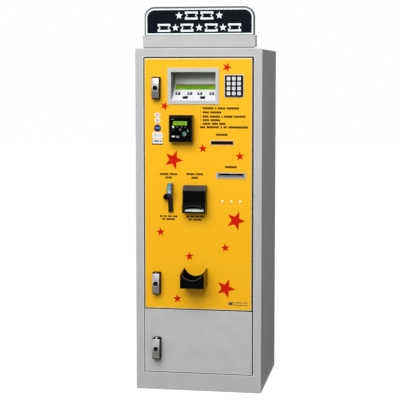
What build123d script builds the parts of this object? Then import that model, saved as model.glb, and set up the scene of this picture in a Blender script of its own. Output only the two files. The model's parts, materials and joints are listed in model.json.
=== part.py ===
"""Ticket dispenser: a free-standing steel cabinet with two doors and a lit sign on its roof.

Millimetres. X runs to the right as seen from the front, Y runs into the cabinet and Z is up.
The origin is the centre of the cabinet's footprint, on the floor.
"""
import os
from math import atan2, cos, sin

from build123d import *

# Fits and clearances
RUN_CLEARANCE = 0.05      # round piece that turns in its bore, on the radius
SLIDE_CLEARANCE = 0.3     # piece that slides or passes through a hole, each side
SEAT_GAP = 0.3            # moving piece over the face behind it
CUTOUT_CLEARANCE = 0.5    # fixed neck in a door cut-out, each side

# Cabinet shell
CABINET_WIDTH = 554.0
CABINET_DEPTH = 540.0
CABINET_HEIGHT = 1500.0
SHEET = 2.0
FLOOR_SHEET = 3.0
ROOF_STEP = 4.5           # roof below the front frame's top edge
ANCHOR_SPACING_X = 440.0
ANCHOR_SPACING_Y = 400.0
ANCHOR_HOLE_R = 6.5
CABLE_HOLE_R = 10.25
CABLE_HOLE_X = 215.0
CABLE_HOLE_Z = 300.0

# Front frame
STILE_WIDTH = 35.0
TOP_RAIL = 36.0
BOTTOM_RAIL = 77.0
FRAME_SHEET = 3.0
FRAME_RETURN = 18.0

# Doors
LATCH_GAP = 4.0
HINGE_GAP = 6.0
TOP_GAP = 5.5
BOTTOM_GAP = 4.0
SPLIT_Z = 361.0
SPLIT_GAP = 4.0
DOOR_SHEET = 2.0
DOOR_RETURN = 20.0
FASCIA_SHEET = 0.5
FASCIA_MARGIN = 1.0

# Door pivots
PIVOT_INSET = 8.0         # axis behind the door's face and in from its edge
PIVOT_R = 4.0
PIVOT_REACH = 12.0        # pin inside the door
PIVOT_BLOCK = 12.0
COLLAR_R = 7.0

# Divider shelf
SHELF_SETBACK = 24.0
SHELF_LIP = 20.0

# Pop-out T-handle locks
LOCK_INSET = 56.0         # lock's axis from the door's latch edge
UPPER_LOCK_Z = (1329.0, 478.0)
LOWER_LOCK_Z = 188.5
HOUSING_WIDTH = 36.0
HOUSING_HEIGHT = 97.0
HOUSING_DEPTH = 26.0
HOUSING_CORNER_R = 5.0
HANDLE_WIDTH = 31.0
HANDLE_HEIGHT = 86.0
HANDLE_DEPTH = 14.0
HANDLE_CROWN = 5.0
HANDLE_CORNER_R = 3.0
SLEEVE_R = 8.0
SLEEVE_REACH = 20.0
BARREL_R = 11.0
BARREL_REACH = 30.0
BOLT_R = 4.0
BOLT_NOSE = 14.0          # bolt in front of the door's face
BOLT_REACH = 62.0         # bolt behind the door's face
BOLT_COLLAR_R = 7.0
BOLT_COLLAR_LENGTH = 4.0
PLUG_R = 11.0
PLUG_DEPTH = 8.0
PLUG_PROUD = 1.5
KEYWAY_WIDTH = 1.6
KEYWAY_HEIGHT = 9.0
KEYWAY_DEPTH = 3.0

# Lock receivers on the front frame
RECEIVER_DEPTH = 50.0     # receiver plate behind the front plane
RECEIVER_SHEET = 4.0
RECEIVER_HEIGHT = 50.0
RECEIVER_HOLE_R = 7.0
RECEIVER_EDGE = 18.0      # plate beyond the hole's centre

# Sign
SIGN_SETBACK = 12.0
SIGN_BASE_WIDTH = 492.0
SIGN_BASE_DEPTH = 48.0
SIGN_BASE_HEIGHT = 51.0
SIGN_PLINTH_RISE = 9.5    # base above the roof
SIGN_PLINTH_INSET = 20.0
SIGN_WIDTH = 479.0
SIGN_HEIGHT = 122.5
SIGN_DEPTH = 30.0
SIGN_FACE_SHEET = 3.0
SIGN_CORNER_R = 44.0
SIGN_FOOT_R = 6.0
SIGN_FACE_INSET = 2.0
SIGN_CABLE_R = 8.0

# Display recess
DISPLAY_X = -21.5
DISPLAY_WIDTH = 225.0
DISPLAY_BOTTOM = 1259.0
DISPLAY_HEIGHT = 156.0
DISPLAY_BORDER = 15.0
DISPLAY_SILL = 1275.5
DISPLAY_HEAD = 1398.0
DISPLAY_RECESS = 99.0
DISPLAY_RISE = 73.5
DISPLAY_FLANGE = 4.0
HOOD_SHEET = 2.0
PANEL_SHEET = 3.0
LCD_WIDTH = 184.0
LCD_HEIGHT = 38.0
LCD_CENTRE = 96.5         # up the slope from the sill
LCD_SINK = 0.8
LCD_DEPTH = 8.0
LCD_RIM = 3.0

# Display keys: four soft keys in the upper row and two menu keys in the lower row
SOFT_KEY_WIDTH = 20.0
SOFT_KEY_HEIGHT = 16.0
SOFT_KEY_ROW = 48.0
SOFT_KEY_INNER_X = 22.3
SOFT_KEY_OUTER_X = 74.6
MENU_KEY_WIDTH = 22.0
MENU_KEY_HEIGHT = 16.0
MENU_KEY_ROW = 20.0
MENU_KEY_X = 38.0
PANEL_KEY_PRESSED = 0.5   # key above the panel's face when it is pressed in
PANEL_KEY_TRAVEL = 1.5
PANEL_KEY_TAIL = 2.0      # key below the panel sheet

# Keypad
KEYPAD_X = 156.0
KEYPAD_Z = 1338.0
KEYPAD_WIDTH = 78.0
KEYPAD_HEIGHT = 91.0
KEYPAD_PROUD = 6.0
KEYPAD_NECK_INSET = 4.0
KEYPAD_NECK_DEPTH = 12.0
KEYPAD_CORNER_R = 3.0
KEY_SIZE = 15.0
KEY_CORNER_R = 2.5
KEY_PITCH_X = 22.8
KEY_PITCH_Z = 21.0
KEY_PROUD = 3.0
KEY_LENGTH = 10.2
KEY_TRAVEL = 1.5
KEY_ROWS = (("1", "2", "3"), ("4", "5", "6"), ("7", "8", "9"), ("star", "0", "hash"))

# Card reader
READER_X = -70.5
READER_Z = 1155.0
READER_WIDTH = 102.0
READER_HEIGHT = 116.0
READER_DEPTH = 45.0
READER_TOP_BEVEL = 11.0
READER_BEVEL_DEPTH = 14.0
READER_EDGE = 5.0
SWIPE_WIDTH = 2.5
SWIPE_DEPTH = 30.0
SWIPE_CHEEK = 9.0
READER_NECK_R = 15.0
READER_NECK_DEPTH = 20.0

# Receipt printer
RECEIPT_X = 104.5
RECEIPT_Z = 1094.0
RECEIPT_WIDTH = 96.0
RECEIPT_HEIGHT = 14.0
RECEIPT_PROUD = 3.0
RECEIPT_SLOT_WIDTH = 84.0
RECEIPT_SLOT_HEIGHT = 6.0
RECEIPT_NECK_INSET = 2.0
PRINTER_WIDTH = 112.0
PRINTER_HEIGHT = 104.0
PRINTER_DEPTH = 120.0
PRINTER_SLOT_DEPTH = 40.0
PRINTER_DROP = 20.0       # printer's centre below the slot

# Ticket feeder
TICKET_X = 144.0
TICKET_Z = 952.5
TICKET_WIDTH = 131.0
TICKET_HEIGHT = 24.6
TICKET_PROUD = 3.0
TICKET_CORNER_R = 2.0
TICKET_BORDER_X = 5.5
TICKET_BORDER_Z = 3.5
TICKET_END_GAP = 8.0
TICKET_RAMP_RISE = 9.0
FEEDER_WIDTH = 140.0
FEEDER_HEIGHT = 96.0
FEEDER_DEPTH = 70.0
FEEDER_SLOT_WIDTH = 104.0

# Dome-headed bolts
DOME_X = (106.0, 145.0, 184.0)
DOME_Z = 839.0
DOME_R = 5.5
DOME_HEIGHT = 3.5
DOME_SHANK_R = 3.0
DOME_SHANK_LENGTH = 18.0

# Coin inlet and validator
COIN_X = -120.0
COIN_WIDTH = 20.0
COIN_BOTTOM = 791.0
COIN_TOP = 917.0
COIN_TOE = 10.0           # reach of the lower end
COIN_SHIN_Z = 850.0
COIN_SHIN = 20.0
COIN_CHIN_Z = 867.0
COIN_CHIN = 40.0
COIN_BROW_Z = 899.0
COIN_BROW = 51.0
COIN_CREST = 24.0
COIN_SLOT_WIDTH = 3.0
COIN_SLOT_BOTTOM = 880.0
COIN_SLOT_TOP = 909.0
COIN_NECK_HEIGHT = 96.0
COIN_NECK_WIDTH = 15.0
RETURN_X = -137.0
RETURN_Z = 858.0
RETURN_BOSS_R = 13.5
RETURN_BOSS_DEPTH = 24.0
RETURN_R = 6.0
RETURN_PROUD = 5.0
RETURN_LENGTH = 16.0
RETURN_TRAVEL = 4.0
VALIDATOR_WIDTH = 90.0
VALIDATOR_BOTTOM = 740.0
VALIDATOR_TOP = 930.0
VALIDATOR_DEPTH = 110.0
CHUTE_SIZE = 50.0
CHUTE_WALL = 2.0
CHUTE_SETBACK = 52.0      # chute behind the door's inner face
CHUTE_END_GAP = 4.0       # chute above the shelf

# Banknote acceptor
NOTE_X = -11.25
NOTE_WIDTH = 101.5
NOTE_BOTTOM = 790.0
NOTE_TOP = 909.0
NOTE_REACH = 42.0
NOTE_CREST = 20.0
NOTE_BEVEL = 21.0
NOTE_LIP_REACH = 52.0
NOTE_LIP_TOP = 832.0
NOTE_LIP_SLOPE = 6.0
NOTE_CHIN = 5.0
NOTE_POCKET_WIDTH = 88.0
NOTE_POCKET_BOTTOM = 799.0
NOTE_POCKET_SIDE = 812.0
NOTE_POCKET_TOP = 823.0
NOTE_POCKET_DEPTH = 18.0
NOTE_SLOT_WIDTH = 78.0
NOTE_SLOT_BOTTOM = 803.0
NOTE_SLOT_HEIGHT = 8.0
NOTE_NECK_INSET = 6.0
ACCEPTOR_WIDTH = 96.0
ACCEPTOR_BOTTOM = 776.0
ACCEPTOR_TOP = 900.0
ACCEPTOR_DEPTH = 140.0
ACCEPTOR_SLOT_DEPTH = 60.0
STACKER_WIDTH = 90.0
STACKER_BOTTOM = 590.0
STACKER_SETBACK = 60.0
STACKER_DEPTH = 100.0

# Coin cup
CUP_X = -11.5
CUP_WIDTH = 104.0
CUP_REACH = 96.0
CUP_BOTTOM = 470.0
CUP_BACK_TOP = 546.0
CUP_FRONT_TOP = 530.0
CUP_BACK_SCOOP = 512.0
CUP_FRONT_SCOOP = 505.0
CUP_TIP = 5.0
CUP_WALL = 5.0
SPOUT_WIDTH = 60.0
SPOUT_BOTTOM = 480.0
SPOUT_HEIGHT = 24.0
SPOUT_WALL = 2.0
SPOUT_REACH = 25.0

# Ticket bin and its folded pack of tickets, on the shelf
BIN_X = 120.0
BIN_WIDTH = 200.0
BIN_DEPTH = 200.0
BIN_HEIGHT = 340.0
BIN_BACK_GAP = 10.0
BIN_SHEET = 2.0
PACK_GAP = 6.0
PACK_HEIGHT = 230.0

# Electronics on the back panel
TRAY_X = -20.0
TRAY_Z = 1215.0
TRAY_WIDTH = 320.0
TRAY_HEIGHT = 260.0
SUPPLY_WIDTH = 120.0
SUPPLY_HEIGHT = 200.0
SUPPLY_DEPTH = 60.0
SUPPLY_OFFSET = 80.0
BOARD_WIDTH = 130.0
BOARD_HEIGHT = 200.0
BOARD_DEPTH = 35.0
BOARD_OFFSET = -75.0

# Cash box in the lower compartment
CASH_X = 25.0
CASH_WIDTH = 360.0
CASH_DEPTH = 300.0
CASH_HEIGHT = 200.0
CASH_SETBACK = 66.0
CASH_SHEET = 2.0
GRIP_WIDTH = 110.0
GRIP_HEIGHT = 12.0
GRIP_REACH = 28.0
GRIP_BAR = 8.0
GRIP_Z = 150.0

# Places worked out from the sizes above
FRONT = -CABINET_DEPTH / 2
BACK = CABINET_DEPTH / 2
ROOF = CABINET_HEIGHT - ROOF_STEP
INSIDE_X = CABINET_WIDTH / 2 - SHEET
OPENING_X = CABINET_WIDTH / 2 - STILE_WIDTH
OPENING_TOP = CABINET_HEIGHT - TOP_RAIL
FACE = FRONT - FASCIA_SHEET
DOOR_INSIDE = FRONT + DOOR_SHEET
DOOR_LEFT = -OPENING_X + LATCH_GAP
DOOR_RIGHT = OPENING_X - HINGE_GAP
UPPER_TOP = OPENING_TOP - TOP_GAP
UPPER_BOTTOM = SPLIT_Z + SPLIT_GAP / 2
LOWER_TOP = SPLIT_Z - SPLIT_GAP / 2
LOWER_BOTTOM = BOTTOM_RAIL + BOTTOM_GAP
LOCK_X = DOOR_LEFT + LOCK_INSET
PIVOT_X = DOOR_RIGHT - PIVOT_INSET
PIVOT_Y = FRONT + PIVOT_INSET
SHELF_TOP = SPLIT_Z + SHEET / 2
SHELF_BOTTOM = SPLIT_Z - SHEET / 2
CHUTE_Y = DOOR_INSIDE + CHUTE_SETBACK + CHUTE_SIZE / 2
SLOPE = atan2(DISPLAY_RISE, DISPLAY_RECESS)
SLOPE_PLANE = Plane(
    origin=(DISPLAY_X, FACE, DISPLAY_SILL),
    x_dir=(1, 0, 0),
    z_dir=(0, -sin(SLOPE), cos(SLOPE)),
)
PANEL_DROP = PANEL_SHEET / cos(SLOPE)
PANEL_KEY_PROUD = PANEL_KEY_PRESSED + PANEL_KEY_TRAVEL
DISPLAY_BACK = FACE + DISPLAY_RECESS
DISPLAY_INNER_X = DISPLAY_WIDTH / 2 - DISPLAY_BORDER
TICKET_INNER_X = TICKET_WIDTH / 2 - TICKET_BORDER_X
TICKET_SILL = TICKET_Z - TICKET_HEIGHT / 2 + TICKET_BORDER_Z
TICKET_HEAD = TICKET_Z + TICKET_HEIGHT / 2 - TICKET_BORDER_Z
SIGN_BASE_BOTTOM = ROOF + SIGN_PLINTH_RISE
SIGN_BASE_TOP = SIGN_BASE_BOTTOM + SIGN_BASE_HEIGHT
SIGN_BASE_FRONT = FRONT + SIGN_SETBACK
SIGN_BASE_BACK = SIGN_BASE_FRONT + SIGN_BASE_DEPTH
SIGN_CASE_FRONT = (SIGN_BASE_FRONT + SIGN_BASE_BACK - SIGN_DEPTH) / 2
SIGN_CASE_BACK = SIGN_CASE_FRONT + SIGN_DEPTH


# Helpers


def block(x, y, z):
    """Box between three pairs of limits."""
    centre = [sum(pair) / 2 for pair in (x, y, z)]
    return Pos(*centre) * Box(x[1] - x[0], y[1] - y[0], z[1] - z[0])


def about(centre, width):
    """Pair of limits of a width about a centre."""
    return centre - width / 2, centre + width / 2


def grown(limits, margin):
    """Pair of limits moved outwards, or inwards with a margin below zero."""
    return limits[0] - margin, limits[1] + margin


def spindle(x, z, radius, y):
    """Cylinder along Y between two depths."""
    return Pos(x, sum(y) / 2, z) * Rot(90, 0, 0) * Cylinder(radius, y[1] - y[0])


def post(x, y, radius, z):
    """Upright cylinder between two heights."""
    return Pos(x, y, sum(z) / 2) * Cylinder(radius, z[1] - z[0])


def slab(sketch, y):
    """Solid of a front-view sketch between two depths."""
    plane = Plane(origin=(0, y[1], 0), x_dir=(1, 0, 0), z_dir=(0, -1, 0))
    return extrude(plane * sketch, amount=y[1] - y[0])


def side_prism(points, x):
    """Solid of a side-view outline of (y, z) points between two x limits."""
    plane = Plane(origin=(x[0], 0, 0), x_dir=(0, 1, 0), z_dir=(1, 0, 0))
    return extrude(plane * make_face(Polyline(*points, close=True)), amount=x[1] - x[0])


def rounded(x, z, radius):
    """Front-view rectangle with round corners between two pairs of limits."""
    return Pos(sum(x) / 2, sum(z) / 2) * RectangleRounded(x[1] - x[0], z[1] - z[0], radius)


def on_slope(x, rise, width, height, bottom, top):
    """Box on the display's sloped panel, with its depths counted outwards from the panel's face."""
    centre = Pos(x, rise, (bottom + top) / 2)
    return SLOPE_PLANE.location * centre * Box(width, height, top - bottom)


def group(pieces):
    """Separate solids under one name."""
    return Compound(children=list(pieces))


# Cabinet


def cabinet_wrap():
    """Left side, roof and right side, folded from one sheet."""
    depth = (FRONT + FRAME_SHEET, BACK)
    outside = block(about(0, CABINET_WIDTH), depth, (0, ROOF))
    return outside - block((-INSIDE_X, INSIDE_X), depth, (0, ROOF - SHEET))


def back_panel():
    """Back sheet with the cable hole."""
    sheet = block((-INSIDE_X, INSIDE_X), (BACK - SHEET, BACK), (FLOOR_SHEET, ROOF - SHEET))
    return sheet - spindle(CABLE_HOLE_X, CABLE_HOLE_Z, CABLE_HOLE_R, (BACK - SHEET, BACK))


def floor_panel():
    """Floor sheet with four anchor holes."""
    sheet = block((-INSIDE_X, INSIDE_X), (FRONT + FRAME_SHEET, BACK), (0, FLOOR_SHEET))
    for x in about(0, ANCHOR_SPACING_X):
        for y in about(0, ANCHOR_SPACING_Y):
            sheet -= post(x, y, ANCHOR_HOLE_R, (0, FLOOR_SHEET))
    return sheet


def receiver(z):
    """Web and drilled plate on the frame's latch side, which take the end of one lock bolt."""
    height = about(z, RECEIVER_HEIGHT)
    plate_y = (FRONT + RECEIVER_DEPTH, FRONT + RECEIVER_DEPTH + RECEIVER_SHEET)
    web_x = (-OPENING_X - FRAME_SHEET, -OPENING_X)
    web = block(web_x, (FRONT + FRAME_RETURN, plate_y[0]), height)
    plate = block((web_x[0], LOCK_X + RECEIVER_EDGE), plate_y, height)
    return [web, plate - spindle(LOCK_X, z, RECEIVER_HOLE_R, plate_y)]


def front_frame():
    """Flat strips round both doors, welded to the returns behind them, and the lock receivers."""
    face_y = (FRONT, FRONT + FRAME_SHEET)
    return_y = (face_y[1], FRONT + FRAME_RETURN)
    side_x = CABINET_WIDTH / 2
    across = (-OPENING_X, OPENING_X)
    opening_z = (BOTTOM_RAIL, OPENING_TOP)
    pieces = []
    for strip_x, return_x in (
        ((-side_x, -OPENING_X), (-OPENING_X - FRAME_SHEET, -OPENING_X)),
        ((OPENING_X, side_x), (OPENING_X, OPENING_X + FRAME_SHEET)),
    ):
        pieces.append(block(strip_x, face_y, (0, CABINET_HEIGHT)))
        pieces.append(block(return_x, return_y, grown(opening_z, FRAME_SHEET)))
    for strip_z, return_z in (
        ((0, BOTTOM_RAIL), (BOTTOM_RAIL - FRAME_SHEET, BOTTOM_RAIL)),
        ((OPENING_TOP, CABINET_HEIGHT), (OPENING_TOP, OPENING_TOP + FRAME_SHEET)),
    ):
        pieces.append(block(across, face_y, strip_z))
        pieces.append(block(across, return_y, return_z))
    for z in (*UPPER_LOCK_Z, LOWER_LOCK_Z):
        pieces += receiver(z)
    return group(pieces)


def divider_shelf():
    """Shelf between the two compartments, with a front lip and the hole that coins drop through."""
    front = FRONT + SHELF_SETBACK
    across = (-INSIDE_X, INSIDE_X)
    shelf = block(across, (front, BACK - SHEET), (SHELF_BOTTOM, SHELF_TOP))
    shelf += block(across, (front, front + SHEET), (SHELF_TOP - SHELF_LIP, SHELF_TOP))
    hole = block(about(COIN_X, CHUTE_SIZE), about(CHUTE_Y, CHUTE_SIZE), (SHELF_BOTTOM, SHELF_TOP))
    return shelf - hole


def hinge_pivots():
    """Three pivot pins: at the frame's top, between the doors on a bracket, and at the foot."""
    top = post(PIVOT_X, PIVOT_Y, PIVOT_R, (UPPER_TOP - PIVOT_REACH, OPENING_TOP))
    bracket_x = (PIVOT_X - PIVOT_BLOCK / 2, OPENING_X)
    bracket = block(bracket_x, about(PIVOT_Y, PIVOT_BLOCK), (SHELF_BOTTOM, SHELF_TOP))
    bracket += post(PIVOT_X, PIVOT_Y, PIVOT_R, (LOWER_TOP - PIVOT_REACH, UPPER_BOTTOM + PIVOT_REACH))
    bracket += post(PIVOT_X, PIVOT_Y, COLLAR_R, (SHELF_TOP, UPPER_BOTTOM - SEAT_GAP))
    foot = post(PIVOT_X, PIVOT_Y, PIVOT_R, (BOTTOM_RAIL, LOWER_BOTTOM + PIVOT_REACH))
    foot += post(PIVOT_X, PIVOT_Y, COLLAR_R, (BOTTOM_RAIL, LOWER_BOTTOM - SEAT_GAP))
    return group([top, bracket, foot])


# Sign


def sign_base():
    """Hollow box under the sign, on a narrower plinth."""
    width = about(0, SIGN_BASE_WIDTH)
    depth = (SIGN_BASE_FRONT, SIGN_BASE_BACK)
    height = (SIGN_BASE_BOTTOM, SIGN_BASE_TOP)
    base = block(width, depth, height)
    base += block(grown(width, -SIGN_PLINTH_INSET), grown(depth, -SHEET), (ROOF, SIGN_BASE_BOTTOM))
    base -= block(grown(width, -SHEET), grown(depth, -SHEET), grown(height, -SHEET))
    return base - post(0, sum(depth) / 2, SIGN_CABLE_R, (ROOF, SIGN_BASE_BOTTOM + SHEET))


def sign_outline(margin):
    """Front view of the sign, drawn in by a margin: large round corners above, small ones below."""
    half = SIGN_WIDTH / 2 - margin
    bottom = SIGN_BASE_TOP + margin
    top = SIGN_BASE_TOP + SIGN_HEIGHT - margin
    outline = Pos(0, (bottom + top) / 2) * Rectangle(2 * half, top - bottom)
    corners = outline.vertices().sort_by(Axis.Y)
    outline = fillet(corners[2:], SIGN_CORNER_R - margin)
    return fillet(outline.vertices().sort_by(Axis.Y)[:2], SIGN_FOOT_R - margin)


def sign_case():
    """Light box of the sign: a deep tray that is open in front."""
    case = slab(sign_outline(0), (SIGN_CASE_FRONT, SIGN_CASE_BACK))
    return case - slab(sign_outline(SHEET), (SIGN_CASE_FRONT, SIGN_CASE_BACK - SHEET))


def sign_face():
    """Translucent face in the mouth of the light box."""
    depth = (SIGN_CASE_FRONT + SIGN_FACE_INSET, SIGN_CASE_FRONT + SIGN_FACE_INSET + SIGN_FACE_SHEET)
    return slab(sign_outline(SHEET), depth)


# Fixed pieces inside the cabinet


def ticket_bin():
    """Open-topped bin on the shelf that holds the folded tickets."""
    x = about(BIN_X, BIN_WIDTH)
    back = BACK - SHEET - BIN_BACK_GAP
    y = (back - BIN_DEPTH, back)
    z = (SHELF_TOP, SHELF_TOP + BIN_HEIGHT)
    return block(x, y, z) - block(grown(x, -BIN_SHEET), grown(y, -BIN_SHEET), (z[0] + BIN_SHEET, z[1]))


def ticket_pack():
    """Fan-folded pack of tickets in the bin."""
    back = BACK - SHEET - BIN_BACK_GAP - BIN_SHEET - PACK_GAP
    depth = BIN_DEPTH - 2 * (BIN_SHEET + PACK_GAP)
    width = about(BIN_X, BIN_WIDTH - 2 * (BIN_SHEET + PACK_GAP))
    foot = SHELF_TOP + BIN_SHEET
    return block(width, (back - depth, back), (foot, foot + PACK_HEIGHT))


def electronics_tray():
    """Tray on the back panel with the power supply and the control board's case."""
    wall = BACK - SHEET
    shelf = wall - SHEET
    tray = block(about(TRAY_X, TRAY_WIDTH), (shelf, wall), about(TRAY_Z, TRAY_HEIGHT))
    supply_x = about(TRAY_X + SUPPLY_OFFSET, SUPPLY_WIDTH)
    supply = block(supply_x, (shelf - SUPPLY_DEPTH, shelf), about(TRAY_Z, SUPPLY_HEIGHT))
    board_x = about(TRAY_X + BOARD_OFFSET, BOARD_WIDTH)
    board = block(board_x, (shelf - BOARD_DEPTH, shelf), about(TRAY_Z, BOARD_HEIGHT))
    return group([tray, supply, board])


def cash_box():
    """Open-topped cash box that stands on the floor panel, with a grip on its front."""
    x = about(CASH_X, CASH_WIDTH)
    y = (FRONT + CASH_SETBACK, FRONT + CASH_SETBACK + CASH_DEPTH)
    z = (FLOOR_SHEET, FLOOR_SHEET + CASH_HEIGHT)
    body = block(x, y, z) - block(grown(x, -CASH_SHEET), grown(y, -CASH_SHEET), (z[0] + CASH_SHEET, z[1]))
    grip_x = about(CASH_X, GRIP_WIDTH)
    grip = block(grip_x, (y[0] - GRIP_REACH, y[0]), about(GRIP_Z, GRIP_HEIGHT))
    grip -= block(grown(grip_x, -GRIP_BAR), (y[0] - GRIP_REACH + GRIP_BAR, y[0]), about(GRIP_Z, GRIP_HEIGHT))
    return body + grip


# Door cut-outs, as front-view sketches


def cutouts():
    """Every hole through the upper door's sheet and the overlay on it."""
    display_x = about(DISPLAY_X, 2 * (DISPLAY_INNER_X + HOOD_SHEET + CUTOUT_CLEARANCE))
    display_z = (DISPLAY_SILL - PANEL_DROP - CUTOUT_CLEARANCE, DISPLAY_HEAD + HOOD_SHEET + CUTOUT_CLEARANCE)
    neck = 2 * (CUTOUT_CLEARANCE - KEYPAD_NECK_INSET)
    receipt = 2 * (CUTOUT_CLEARANCE - RECEIPT_NECK_INSET)
    note = 2 * (CUTOUT_CLEARANCE - NOTE_NECK_INSET)
    spout = SPOUT_WALL + CUTOUT_CLEARANCE
    windows = [
        (display_x, display_z),
        (about(KEYPAD_X, KEYPAD_WIDTH + neck), about(KEYPAD_Z, KEYPAD_HEIGHT + neck)),
        (about(RECEIPT_X, RECEIPT_WIDTH + receipt), about(RECEIPT_Z, RECEIPT_HEIGHT + receipt)),
        (
            about(TICKET_X, 2 * (TICKET_INNER_X + CUTOUT_CLEARANCE)),
            (TICKET_SILL - CUTOUT_CLEARANCE, TICKET_HEAD + CUTOUT_CLEARANCE),
        ),
        (
            about(COIN_X, COIN_NECK_WIDTH + 2 * CUTOUT_CLEARANCE),
            about((COIN_BOTTOM + COIN_TOP) / 2, COIN_NECK_HEIGHT + 2 * CUTOUT_CLEARANCE),
        ),
        (
            about(NOTE_X, NOTE_WIDTH + note),
            about((NOTE_BOTTOM + NOTE_TOP) / 2, NOTE_TOP - NOTE_BOTTOM + note),
        ),
        (about(CUP_X, SPOUT_WIDTH + 2 * spout), grown((SPOUT_BOTTOM, SPOUT_BOTTOM + SPOUT_HEIGHT), spout)),
    ]
    bores = [(LOCK_X, z, BARREL_R + CUTOUT_CLEARANCE) for z in UPPER_LOCK_Z]
    bores += [(x, DOME_Z, DOME_SHANK_R + CUTOUT_CLEARANCE) for x in DOME_X]
    bores += [(READER_X, READER_Z, READER_NECK_R + CUTOUT_CLEARANCE)]
    holes = [Pos(sum(x) / 2, sum(z) / 2) * Rectangle(x[1] - x[0], z[1] - z[0]) for x, z in windows]
    holes += [Pos(x, z) * Circle(radius) for x, z, radius in bores]
    return holes


# Doors


def door_pan(bottom, top):
    """Folded door sheet with returns, and a drilled block for the pivot pin at each end."""
    outside = block((DOOR_LEFT, DOOR_RIGHT), (FRONT, FRONT + DOOR_RETURN), (bottom, top))
    inside_x = grown((DOOR_LEFT, DOOR_RIGHT), -DOOR_SHEET)
    inside_z = grown((bottom, top), -DOOR_SHEET)
    pan = outside - block(inside_x, (DOOR_INSIDE, FRONT + DOOR_RETURN), inside_z)
    block_x = (PIVOT_X - PIVOT_BLOCK / 2, inside_x[1])
    block_y = (DOOR_INSIDE, PIVOT_Y + PIVOT_BLOCK / 2)
    for z in ((inside_z[0], inside_z[0] + PIVOT_REACH), (inside_z[1] - PIVOT_REACH, inside_z[1])):
        pan += block(block_x, block_y, z)
    for z in ((bottom, bottom + DOOR_SHEET + PIVOT_REACH), (top - DOOR_SHEET - PIVOT_REACH, top)):
        pan -= post(PIVOT_X, PIVOT_Y, PIVOT_R + RUN_CLEARANCE, z)
    return pan


def upper_door():
    """Upper door with its cut-outs."""
    return door_pan(UPPER_BOTTOM, UPPER_TOP) - [slab(hole, (FRONT, DOOR_INSIDE)) for hole in cutouts()]


def yellow_overlay():
    """Printed sheet on the upper door's face."""
    area_x = grown((DOOR_LEFT, DOOR_RIGHT), -FASCIA_MARGIN)
    area_z = grown((UPPER_BOTTOM, UPPER_TOP), -FASCIA_MARGIN)
    sheet = block(area_x, (FACE, FRONT), area_z)
    return sheet - [slab(hole, (FACE, FRONT)) for hole in cutouts()]


def lower_door():
    """Lower door with the hole for its lock."""
    hole = spindle(LOCK_X, LOWER_LOCK_Z, BARREL_R + CUTOUT_CLEARANCE, (FRONT, DOOR_INSIDE))
    return door_pan(LOWER_BOTTOM, LOWER_TOP) - hole


# Locks. Each is drawn at a height, on the face that its housing is seated on.


def lock_housing(z, seat):
    """Lock housing on the door's face, with the barrel that passes through the door."""
    front = seat - HOUSING_DEPTH
    body = slab(
        rounded(about(LOCK_X, HOUSING_WIDTH), about(z, HOUSING_HEIGHT), HOUSING_CORNER_R),
        (front, seat),
    )
    body += spindle(LOCK_X, z, BARREL_R, (seat, seat + BARREL_REACH))
    body -= spindle(LOCK_X, z, SLEEVE_R + SLIDE_CLEARANCE, (front, seat + SLEEVE_REACH + SEAT_GAP))
    return body - spindle(LOCK_X, z, BOLT_R + RUN_CLEARANCE, (seat, seat + BARREL_REACH))


def lock_bolt(z, seat):
    """Bolt that turns in the barrel and reaches into the frame's receiver, with its keeper collar."""
    bolt = spindle(LOCK_X, z, BOLT_R, (seat - BOLT_NOSE, FRONT + BOLT_REACH))
    collar = seat + BARREL_REACH + SEAT_GAP
    return bolt + spindle(LOCK_X, z, BOLT_COLLAR_R, (collar, collar + BOLT_COLLAR_LENGTH))


def lock_handle(z, seat):
    """Crowned T-handle that slides out on the bolt, with the sleeve behind it."""
    back = seat - HOUSING_DEPTH - SEAT_GAP
    front = back - HANDLE_DEPTH
    half = HANDLE_HEIGHT / 2
    crown_r = (half**2 + HANDLE_CROWN**2) / (2 * HANDLE_CROWN)
    outline = rounded(about(LOCK_X, HANDLE_WIDTH), about(z, HANDLE_HEIGHT), HANDLE_CORNER_R)
    handle = slab(outline, (front, back))
    handle &= Pos(LOCK_X, front + crown_r, z) * Rot(0, 90, 0) * Cylinder(crown_r, HANDLE_WIDTH)
    handle += spindle(LOCK_X, z, SLEEVE_R, (back, seat + SLEEVE_REACH))
    handle -= spindle(LOCK_X, z, PLUG_R + RUN_CLEARANCE, (front, front + PLUG_DEPTH))
    nose = seat - BOLT_NOSE - SEAT_GAP
    return handle - spindle(LOCK_X, z, BOLT_R + RUN_CLEARANCE, (nose, seat + SLEEVE_REACH))


def lock_plug(z, seat):
    """Key plug in the handle, with its keyway."""
    handle_front = seat - HOUSING_DEPTH - SEAT_GAP - HANDLE_DEPTH
    front = handle_front - PLUG_PROUD
    plug = spindle(LOCK_X, z, PLUG_R, (front, handle_front + PLUG_DEPTH))
    return plug - block(about(LOCK_X, KEYWAY_WIDTH), (front, front + KEYWAY_DEPTH), about(z, KEYWAY_HEIGHT))


# Display


def display_bezel():
    """Raised border and the hood behind it: two cheeks, a ceiling and a back wall."""
    inner_x = about(DISPLAY_X, 2 * DISPLAY_INNER_X)
    outer_x = grown(inner_x, HOOD_SHEET)
    flange_z = (DISPLAY_BOTTOM, DISPLAY_BOTTOM + DISPLAY_HEIGHT)
    bezel = block(about(DISPLAY_X, DISPLAY_WIDTH), (FACE - DISPLAY_FLANGE, FACE), flange_z)
    bezel -= block(inner_x, (FACE - DISPLAY_FLANGE, FACE), (DISPLAY_SILL, DISPLAY_HEAD))
    sill = DISPLAY_SILL - PANEL_DROP
    back = DISPLAY_BACK + HOOD_SHEET
    rear = sill + DISPLAY_RISE
    head = DISPLAY_HEAD + HOOD_SHEET
    hood = side_prism([(FACE, sill), (back, rear), (back, head), (FACE, head)], outer_x)
    return bezel + (hood - block(inner_x, (FACE, DISPLAY_BACK), (sill, DISPLAY_HEAD)))


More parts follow.
